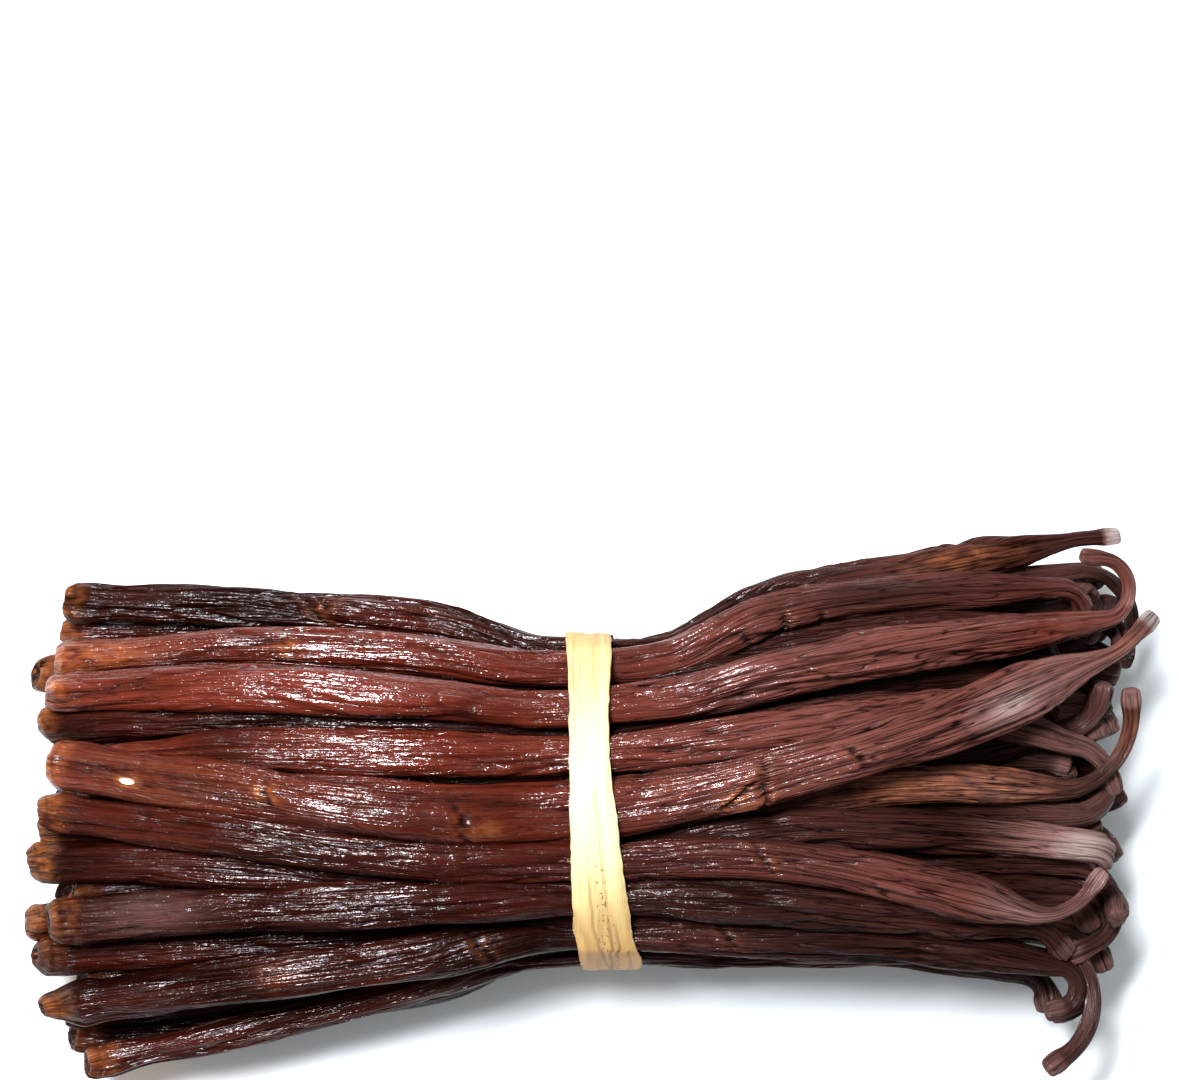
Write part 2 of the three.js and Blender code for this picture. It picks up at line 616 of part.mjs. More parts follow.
/** The knot: a flattened lump on the band. */
function knotSolid() {
  const [long, round, deep] = KNOT_SIZE.map((size) => size / 2);
  const place = between(TIE_ANGLES, TIE_PLACES, 360 + KNOT_ANGLE);
  const middle = onLoop(place, KNOT_ANGLE, TIE_GAP + deep);
  const angle = radians(KNOT_ANGLE);
  const out = new THREE.Vector3(0, Math.cos(angle), Math.sin(angle));
  const up = new THREE.Vector3(0, -Math.sin(angle), Math.cos(angle));
  const slices = [-0.85, -0.5, 0, 0.5, 0.85];
  const rings = slices.map((t) => {
    const size = Math.sqrt(1 - t * t);
    const at = middle.clone().add(new THREE.Vector3(long * t, 0, 0));
    return ring({ middle: at, across: out, over: up }, deep * size, round * size, KNOT_SIDES);
  });
  const pole = (t) => middle.clone().add(new THREE.Vector3(long * t, 0, 0));
  return capped(rings, pole(-1), pole(1));
}

/** A flat tail that leaves the knot at a heading and lies along the pods. */
function tailSolid(heading, length) {
  const [alongX, alongRound] = [Math.cos(radians(heading)), Math.sin(radians(heading))];
  const place = between(TIE_ANGLES, TIE_PLACES, 360 + KNOT_ANGLE);
  const perDegree = radians(TIED_HALF_WIDTH);
  const spot = (run, side, gap) => {
    const x = place + run * alongX - side * alongRound;
    const degrees = KNOT_ANGLE + (run * alongRound + side * alongX) / perDegree;
    return onLoop(x, degrees, gap);
  };
  const steps = Math.round(length / TAIL_PITCH);
  const rings = Array.from({ length: steps + 1 }, (_, k) => {
    const run = (length * k) / steps;
    const gap = TIE_GAP + TIE_THICKNESS * (1 - ease(run / TAIL_DROP));
    const half = TAIL_WIDTH / 2;
    return [
      spot(run, half, gap),
      spot(run, -half, gap),
      spot(run, -half, gap + TAIL_THICKNESS),
      spot(run, half, gap + TAIL_THICKNESS),
    ];
  });
  return capped(rings, centreOf(rings[0]), centreOf(rings[steps]));
}

const shownAndInner = [...SHOWN_PODS, ...innerPods()];
settle(shownAndInner);

const pods = joined([coreSolid(), ...shownAndInner.flatMap(podSolids)]);
const tails = TAIL_HEADINGS.map((heading, k) => tailSolid(heading, TAIL_LENGTHS[k]));
const tie = joined([bandSolid(), knotSolid(), ...tails]);

// ---- The part ---------------------------------------------------------------------------------

const podSkin = new THREE.MeshStandardMaterial({ color: 0x4a241a, roughness: 0.38, metalness: 0 });
const raffia = new THREE.MeshStandardMaterial({ color: 0xe6cf9c, roughness: 0.7, metalness: 0 });

const bundle = new THREE.Group();
for (const [name, shape, material] of [["pods", pods, podSkin], ["tie", tie, raffia]]) {
  const mesh = new THREE.Mesh(shape, material);
  mesh.name = name;
  mesh.position.set(-MIDDLE_OF_BASE[0], -MIDDLE_OF_BASE[1], 0);
  bundle.add(mesh);
}

export default bundle;
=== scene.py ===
"""A bundle of cured vanilla pods, held at its waist by one turn of raffia.

Some fifty oily brown pods lie side by side along X, with their blunt blossom ends at -X and their
thin hooked stalks at +X. The tie pulls the waist into an oval and the ends fan out. Sizes are in
millimetres and lengths are measured from the tie, until a mesh is made.
"""

import logging
import math
from collections.abc import Sequence
from dataclasses import dataclass, field
from enum import Enum
from functools import cached_property

import bpy
import numpy as np
from mathutils import Euler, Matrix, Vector


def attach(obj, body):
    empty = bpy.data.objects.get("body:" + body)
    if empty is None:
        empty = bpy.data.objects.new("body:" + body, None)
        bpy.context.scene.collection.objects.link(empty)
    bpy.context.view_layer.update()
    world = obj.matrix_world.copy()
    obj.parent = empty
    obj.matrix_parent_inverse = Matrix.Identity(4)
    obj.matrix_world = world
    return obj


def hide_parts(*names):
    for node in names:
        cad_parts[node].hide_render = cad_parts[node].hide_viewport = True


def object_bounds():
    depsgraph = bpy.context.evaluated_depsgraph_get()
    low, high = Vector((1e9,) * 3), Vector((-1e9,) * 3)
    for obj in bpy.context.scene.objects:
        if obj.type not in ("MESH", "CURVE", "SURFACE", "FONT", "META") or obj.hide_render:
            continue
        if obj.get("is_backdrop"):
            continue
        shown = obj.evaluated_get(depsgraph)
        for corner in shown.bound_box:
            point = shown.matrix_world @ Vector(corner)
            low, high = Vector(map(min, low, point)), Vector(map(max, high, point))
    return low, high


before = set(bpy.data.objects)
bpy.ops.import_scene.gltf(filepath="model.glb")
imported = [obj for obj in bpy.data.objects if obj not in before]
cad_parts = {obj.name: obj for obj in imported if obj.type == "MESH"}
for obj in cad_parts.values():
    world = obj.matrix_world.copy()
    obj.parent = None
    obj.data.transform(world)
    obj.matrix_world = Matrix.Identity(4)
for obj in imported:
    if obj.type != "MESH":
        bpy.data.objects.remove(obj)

LOG = logging.getLogger("vanilla_bundle")
MM = 0.001  # metres in a millimetre

Socket = bpy.types.NodeSocket
Value = Socket | float | tuple[float, ...]

# ---- Sizes that the scene shares with the solid part --------------------------------------------

TIED_HALF_WIDTH = 26.8  # the waist is pulled into an oval this far each way in Y
TIED_HALF_HEIGHT = 17.4
TIED_MIDDLE = 19.6  # height of the oval's middle above the table
FLATNESS = 0.86  # a pod's thickness over its width
PRESSED = 0.94  # how much of its width a pod keeps from its neighbours
MIDDLE_OF_BASE = np.array([-1.153, 1.503, 0.0])  # of the bundle's box, measured from the tie

MARK_START, MARK_STEP, MARK_COUNT = -84.0, 27.0, 7  # where a pod's lane is given
MARK_END = MARK_START + (MARK_COUNT - 1) * MARK_STEP
STATION_START, STATION_STEP, STATION_COUNT = -90.0, 6.0, 30  # where the pods settle
HEAP_PLACES = (-90.0, -45.0, 0.0, 42.0, 78.0)  # where the heap's middle and half height are given
HEAP_MIDDLE = (15.5, 20.3, 19.6, 19.3, 15.5)
HEAP_HALF = (12.0, 19.8, 17.4, 19.0, 11.0)

# Rows of pods inside the heap: height at the tie, count, spacing in Y.
INNER_ROWS = ((4.6, 5, 6.2), (9.8, 7, 6.2), (15.0, 7, 6.2), (20.2, 6, 6.0), (25.4, 4, 5.9))
INNER_FAN = 1.43  # how much wider apart they are at the ends than at the tie
BLUNT_FAN_SPREAD, STALK_FAN_SPREAD = 0.2, 0.3  # how much one pod's own fan may differ
INNER_STRAY = 5.0  # how far a pod's end may stray sideways in all
INNER_DRIFT = (-4.0, -2.5, -1.0, 0.0, 3.0, 6.0, 8.0)  # of their middle at each mark
INNER_TAPER = 50.0
INNER_BLUNT, INNER_STALK, INNER_TIP = 0.8, 3.4, 3.0
# Least value and spread of an inner pod's sizes, and of its looks.
INNER_START, INNER_TO, INNER_WIDTH = (-87.0, 7.0), (68.0, 12.0), (6.8, 1.5)
INNER_TURN, INNER_BEND, INNER_ROLL = (-130.0, 260.0), (3.0, 4.0), (-50.0, 100.0)
INNER_DRY, INNER_KNOB, INNER_WRINKLED = (0.1, 0.4), (0.0, 0.4), (1.0, 0.5)

BLUNT_SHARE, TAPER_START = 0.95, 52.0
SLIM_SHARE = 0.5  # how far into its hook a pod has narrowed to its stalk
WAIST_PINCH, WAIST_REACH = 0.1, 11.0
KNOB_BACK, KNOB_REACH, KNOB_SWELL = 1.2, 1.6, 0.24  # before its end, along it, and how much

# ---- Sizes of the skin and its maps -------------------------------------------------------------

CREASE_HALF = 0.42  # half width of a crease
LIP_AWAY, LIP_HALF = 1.0, 0.7  # how far its lips lie from it, and their half width
GRAIN_APART = 400.0  # each pod's patterns are this far along from the last one's
STRIP_MARGIN = 0.04  # share of a surface's strip of the map that is left free at each side


# ---- Plain helpers ------------------------------------------------------------------------------

def ease(t: np.ndarray | float) -> np.ndarray:
    """Smooth rise from 0 to 1: t squared times (3 - 2t), with t held between 0 and 1."""
    s = np.clip(t, 0.0, 1.0)
    return s * s * (3 - 2 * s)


def draw(pod: int, use: int) -> float:
    """A fixed draw from 0 to 1: the fraction of a large multiple of a sine of pod and use."""
    v = math.sin(pod * 12.9898 + use * 78.233) * 43758.5453
    return v - math.floor(v)


def pick(span: tuple[float, float], share: np.ndarray | float) -> np.ndarray | float:
    """A span's least value plus a share of its spread."""
    least, spread = span
    return least + spread * share


def bell(distance: np.ndarray, width: float) -> np.ndarray:
    """The bell curve exp(-(distance / width) squared). On a noise it draws thin lines where the
    noise crosses zero."""
    return np.exp(-((distance / width) ** 2))


def linear(code: str) -> tuple[float, float, float]:
    """A colour's linear red, green and blue from its sRGB hex code."""
    parts = [int(code[k:k + 2], 16) / 255 for k in (1, 3, 5)]
    return tuple(p / 12.92 if p <= 0.04045 else ((p + 0.055) / 1.055) ** 2.4 for p in parts)


def through(values: Sequence[float], start: float, step: float, x: np.ndarray) -> np.ndarray:
    """A Catmull-Rom curve through evenly spaced values, running on straight past both ends.

    Args:
        values: the values, the first at start and the others a step apart.
        start: place of the first value.
        step: distance between values.
        x: places to read the curve at.

    Returns:
        The curve's value at each x.
    """
    v = np.asarray(values, float)
    last = len(v) - 1
    place = (np.asarray(x, float) - start) / step
    k = np.clip(np.floor(place).astype(int), 0, last - 1)
    f = place - k
    b, c = v[k], v[k + 1]
    a = np.where(k > 0, v[np.maximum(k - 1, 0)], 2 * b - c)
    d = np.where(k + 2 <= last, v[np.minimum(k + 2, last)], 2 * c - b)
    inside = b + 0.5 * f * (c - a + f * (2 * a - 5 * b + 4 * c - d + f * (3 * (b - c) + d - a)))
    before = v[0] + place * (v[1] - v[0])
    after = v[last] + (place - last) * (v[last] - v[last - 1])
    return np.where(place < 0, before, np.where(place > last, after, inside))


def ring_noise(seed: int, turns: int, round_it: np.ndarray, rows: np.ndarray) -> np.ndarray:
    """Smooth noise from about -1 to 1 that closes on itself round a pod.

    A lattice of seeded random numbers has so many columns round the pod and one row for each unit
    of rows. The value is the Catmull-Rom blend of the 4 by 4 numbers round the place.

    Args:
        seed: which lattice.
        turns: its number of columns.
        round_it: place round the pod in whole turns, of any size.
        rows: place along it, in rows.

    Returns:
        An array of the two places' common shape.
    """
    across, along = np.broadcast_arrays(np.asarray(round_it) * turns, rows)
    first = int(math.floor(along.min())) - 2
    count = int(math.ceil(along.max())) - first + 3
    lattice = np.random.default_rng(seed).uniform(-1, 1, (count, turns))
    i, j = np.floor(along), np.floor(across)
    f, g = along - i, across - j
    row, column = i.astype(int) - first, j.astype(int)

    def weights(t: np.ndarray) -> tuple[np.ndarray, ...]:
        """The four Catmull-Rom weights at the fraction t."""
        return (
            0.5 * t * (-1 + t * (2 - t)),
            0.5 * (2 + t * t * (3 * t - 5)),
            0.5 * t * (1 + t * (4 - 3 * t)),
            0.5 * t * t * (t - 1),
        )

    total = np.zeros(across.shape)
    for di, wi in enumerate(weights(f)):
        for dj, wj in enumerate(weights(g)):
            total += wi * wj * lattice[row + di - 1, (column + dj - 1) % turns]
    return total


# ---- Meshes -------------------------------------------------------------------------------------

@dataclass
class Surface:
    """A grid of points bent round on itself, with what its finish reads.

    Attributes:
        points: rings by sides by 3, in millimetres, measured from the tie.
        grain: rings by sides by 3, the skin's own coordinates for fine patterns.
        look: rings by sides by 4: on a pod how red, how tan, with a painted warm highlight on a
            blunt rim, how dry, and how much painted shade its furrows and creases get, with a
            scar's own dark.
        poles: the point that closes each end, or None where the rings join up in a loop.
    """

    points: np.ndarray
    grain: np.ndarray
    look: np.ndarray
    poles: tuple[np.ndarray, np.ndarray] | None = None


def surfaces_to_object(name: str, surfaces: Sequence[Surface]) -> bpy.types.Object:
    """Joins surfaces into one mesh object at the origin, moved from the tie to the part's frame.

    Faces run ring by ring, side by side, and point outwards. Every surface gets its own strip of
    the map that patterns are baked through, the strips stacked one over the other.

    Args:
        name: the piece's name.
        surfaces: what it is made of.

    Returns:
        The object, smooth shaded, with its grain and look attributes.
    """
    points, grain, look, corners, sizes, spots = [], [], [], [], [], []
    offset = 0
    strip = 1 - 2 * STRIP_MARGIN
    for k, s in enumerate(surfaces):
        rings, sides = s.points.shape[:2]
        last = rings if s.poles is None else rings - 1
        i, j = np.meshgrid(np.arange(last), np.arange(sides), indexing="ij")
        i2, j2 = (i + 1) % rings, (j + 1) % sides
        quads = np.stack([i * sides + j, i * sides + j2, i2 * sides + j2, i2 * sides + j], -1)
        u = (np.stack([i, i, i + 1, i + 1], -1) + 1) / (rings + 1)
        tall = np.stack([j, j + 1, j + 1, j], -1) / sides
        v = (k + STRIP_MARGIN + strip * tall) / len(surfaces)
        points.append(s.points.reshape(-1, 3))
        grain.append(s.grain.reshape(-1, 3))
        look.append(s.look.reshape(-1, 4))
        corners.append(quads.reshape(-1) + offset)
        sizes.append(np.full(quads.shape[0] * quads.shape[1], 4))
        spots.append(np.stack([u, v], -1).reshape(-1, 2))
        if s.poles is not None:
            pole = offset + rings * sides
            side = np.arange(sides)
            ahead = (side + 1) % sides
            end = offset + (rings - 1) * sides
            fans = (
                np.stack([np.full(sides, pole), offset + ahead, offset + side], -1),
                np.stack([np.full(sides, pole + 1), end + side, end + ahead], -1),
            )
            v0, v1, vm = side / sides, (side + 1) / sides, (side + 0.5) / sides
            inner, outer = 1 / (rings + 1), rings / (rings + 1)
            for fan, us, vs in (
                (fans[0], (0.0, inner, inner), (vm, v1, v0)),
                (fans[1], (1.0, outer, outer), (vm, v0, v1)),
            ):
                corners.append(fan.reshape(-1))
                sizes.append(np.full(sides, 3))
                tall = (k + STRIP_MARGIN + strip * np.stack(vs, -1)) / len(surfaces)
                spots.append(np.stack([np.broadcast_to(us, tall.shape), tall], -1).reshape(-1, 2))
            points.append(np.stack(s.poles))
            grain.append(np.stack([s.grain[0].mean(0), s.grain[-1].mean(0)]))
            look.append(np.stack([s.look[0].mean(0), s.look[-1].mean(0)]))
            offset += 2
        offset += rings * sides

    places = (np.concatenate(points) - MIDDLE_OF_BASE) * MM
    faces, total = np.concatenate(sizes), np.concatenate(corners)
    mesh = bpy.data.meshes.new(name)
    mesh.vertices.add(len(places))
    mesh.loops.add(len(total))
    mesh.polygons.add(len(faces))
    mesh.vertices.foreach_set("co", places.astype(np.float32).ravel())
    mesh.loops.foreach_set("vertex_index", total.astype(np.int32))
    starts = np.concatenate([[0], np.cumsum(faces)[:-1]])
    mesh.polygons.foreach_set("loop_start", starts.astype(np.int32))
    mesh.polygons.foreach_set("loop_total", faces.astype(np.int32))
    mesh.polygons.foreach_set("use_smooth", np.ones(len(faces), bool))
    mesh.update(calc_edges=True)
    layer = mesh.uv_layers.new(name="OFBake")
    layer.uv.foreach_set("vector", np.concatenate(spots).astype(np.float32).ravel())
    for label, kind, values in (("grain", "FLOAT_VECTOR", grain), ("look", "FLOAT_COLOR", look)):
        attribute = mesh.attributes.new(label, kind, "POINT")
        key = "vector" if kind == "FLOAT_VECTOR" else "color"
        attribute.data.foreach_set(key, np.concatenate(values).astype(np.float32).ravel())
    made = bpy.data.objects.new(name, mesh)
    bpy.context.scene.collection.objects.link(made)
    return made


# ---- What a pod is ------------------------------------------------------------------------------

class Piece(Enum):
    """The mesh that a pod is joined into."""

    BACK = "pods_back"
    CROWN = "pods_crown"
    CENTRE = "pods_centre"
    FRONT = "pods_front"
    LOW = "pods_low"
    INNER = "pods_inner"


class Fineness(Enum):
    """How finely a pod is made: sides round it, and millimetres between its rings."""

    CLOSE = (76, 0.85)
    PLAIN = (58, 1.0)
    LOW = (44, 1.25)
    DEEP = (27, 1.9)


class Tone(Enum):
    """A pod's own brown: how far it lies from the darkest brown, 0, towards the reddest, 1."""

    CHOCOLATE = 0.04
    COCOA = 0.18
    CHESTNUT = 0.62


@dataclass(frozen=True)
class Hook:
    """The bend at a stalk's end.

    Attributes:
        turn: degrees, + towards the back.
        radius: of the bend.
        tip: the straight end after it.
        roll: degrees that the bend is rolled upwards.
    """

    turn: float
    radius: float
    tip: float
    roll: float


@dataclass(frozen=True)
class Crease:
    """A crosswise wrinkle in the skin.

    Attributes:
        run: place along the pod, at the wrinkle's middle.
        facing: place round it in degrees, 0 at the back and 90 on top.
        span: how many degrees it reaches each way.
        slant: millimetres along the pod for each radian round it.
        depth: of the furrow.
        glow: how tan its lips are, from 0 to 1.
    """

    run: float
    facing: float
    span: float
    slant: float
    depth: float
    glow: float = 0.0


@dataclass(frozen=True)
class Swell:
    """A local lump or dent, and how the skin's colour changes there.

    Attributes:
        run: place along the pod.
        facing: place round it in degrees.
        reach: how far it reaches along the pod.
        span: how many degrees it reaches round it.
        height: outwards, negative for a dent.
        tan: how much paler and more orange the skin is there.
        dry: how much greyer and duller.
        red: how much redder, or darker if negative.
    """

    run: float
    facing: float
    reach: float
    span: float
    height: float = 0.0
    tan: float = 0.0
    dry: float = 0.0
    red: float = 0.0


Mark = Crease | Swell


@dataclass
class Pod:
    """One pod: a lane to lie on, a straight run with a belly, and a hooked stalk.

    Attributes:
        name: what it is called here.
        start: X of its blunt end.
        to: X where its hook begins.
        width: of its belly.
        stalk: width of its stalk.
        height: of its middle at the tie.
        lane: its Y at each mark.
        hook: the bend at its stalk.
        piece: the mesh it is joined into.
        fineness: how finely it is made.
        tone: its brown.
        dry: how grey and dull it gets towards its stalk.
        knob: how pale and bare its stalk's end is, from 0 to 1.
        wrinkled: how deep its wrinkles are, 1 being usual.
        blunt: width of the blunt end over the belly's.
        swell: how far in from the blunt end it reaches its full width.
        taper: X where it starts to narrow into its stalk.
        girth: its thickness at each mark, 1 being usual.
        marks: what is particular to its skin.
        inner: whether it lies inside the heap.
    """

    name: str
    start: float
    to: float
    width: float
    stalk: float
    height: float
    lane: tuple[float, ...]
    hook: Hook
    piece: Piece
    fineness: Fineness = Fineness.PLAIN
    tone: Tone = Tone.COCOA
    dry: float = 0.3
    knob: float = 0.35
    wrinkled: float = 1.0
    blunt: float = BLUNT_SHARE
    swell: float = 30.0
    taper: float = TAPER_START
    girth: tuple[float, ...] = (1.0,) * MARK_COUNT
    marks: tuple[Mark, ...] = ()
    inner: bool = False

    @property
    def arc(self) -> float:
        """Length of the hook's bend."""
        return abs(math.radians(self.hook.turn)) * self.hook.radius

    @property
    def end(self) -> float:
        """Length of the run from the tie to the stalk's end."""
        return self.to + self.arc + self.hook.tip

    def width_at(self, run: np.ndarray) -> np.ndarray:
        """Width along the run: belly width times the girth, the blunt end's rise, the taper, the
        squeeze at the tie and the stalk's knob, each a smooth step or a bell."""
        rise = self.blunt + (1 - self.blunt) * ease((run - self.start) / self.swell)
        marked = np.clip(run, MARK_START, MARK_END)
        rise = rise * through(self.girth, MARK_START, MARK_STEP, marked)
        slim = self.to + SLIM_SHARE * self.arc
        narrow = ease((run - self.taper) / (slim - self.taper))
        taper = 1 - (1 - self.stalk / self.width) * narrow
        waist = 1 - WAIST_PINCH * bell(run, WAIST_REACH)
        knob = 1 + KNOB_SWELL * bell(run - self.end + KNOB_BACK, KNOB_REACH)
        return self.width * rise * taper * waist * knob


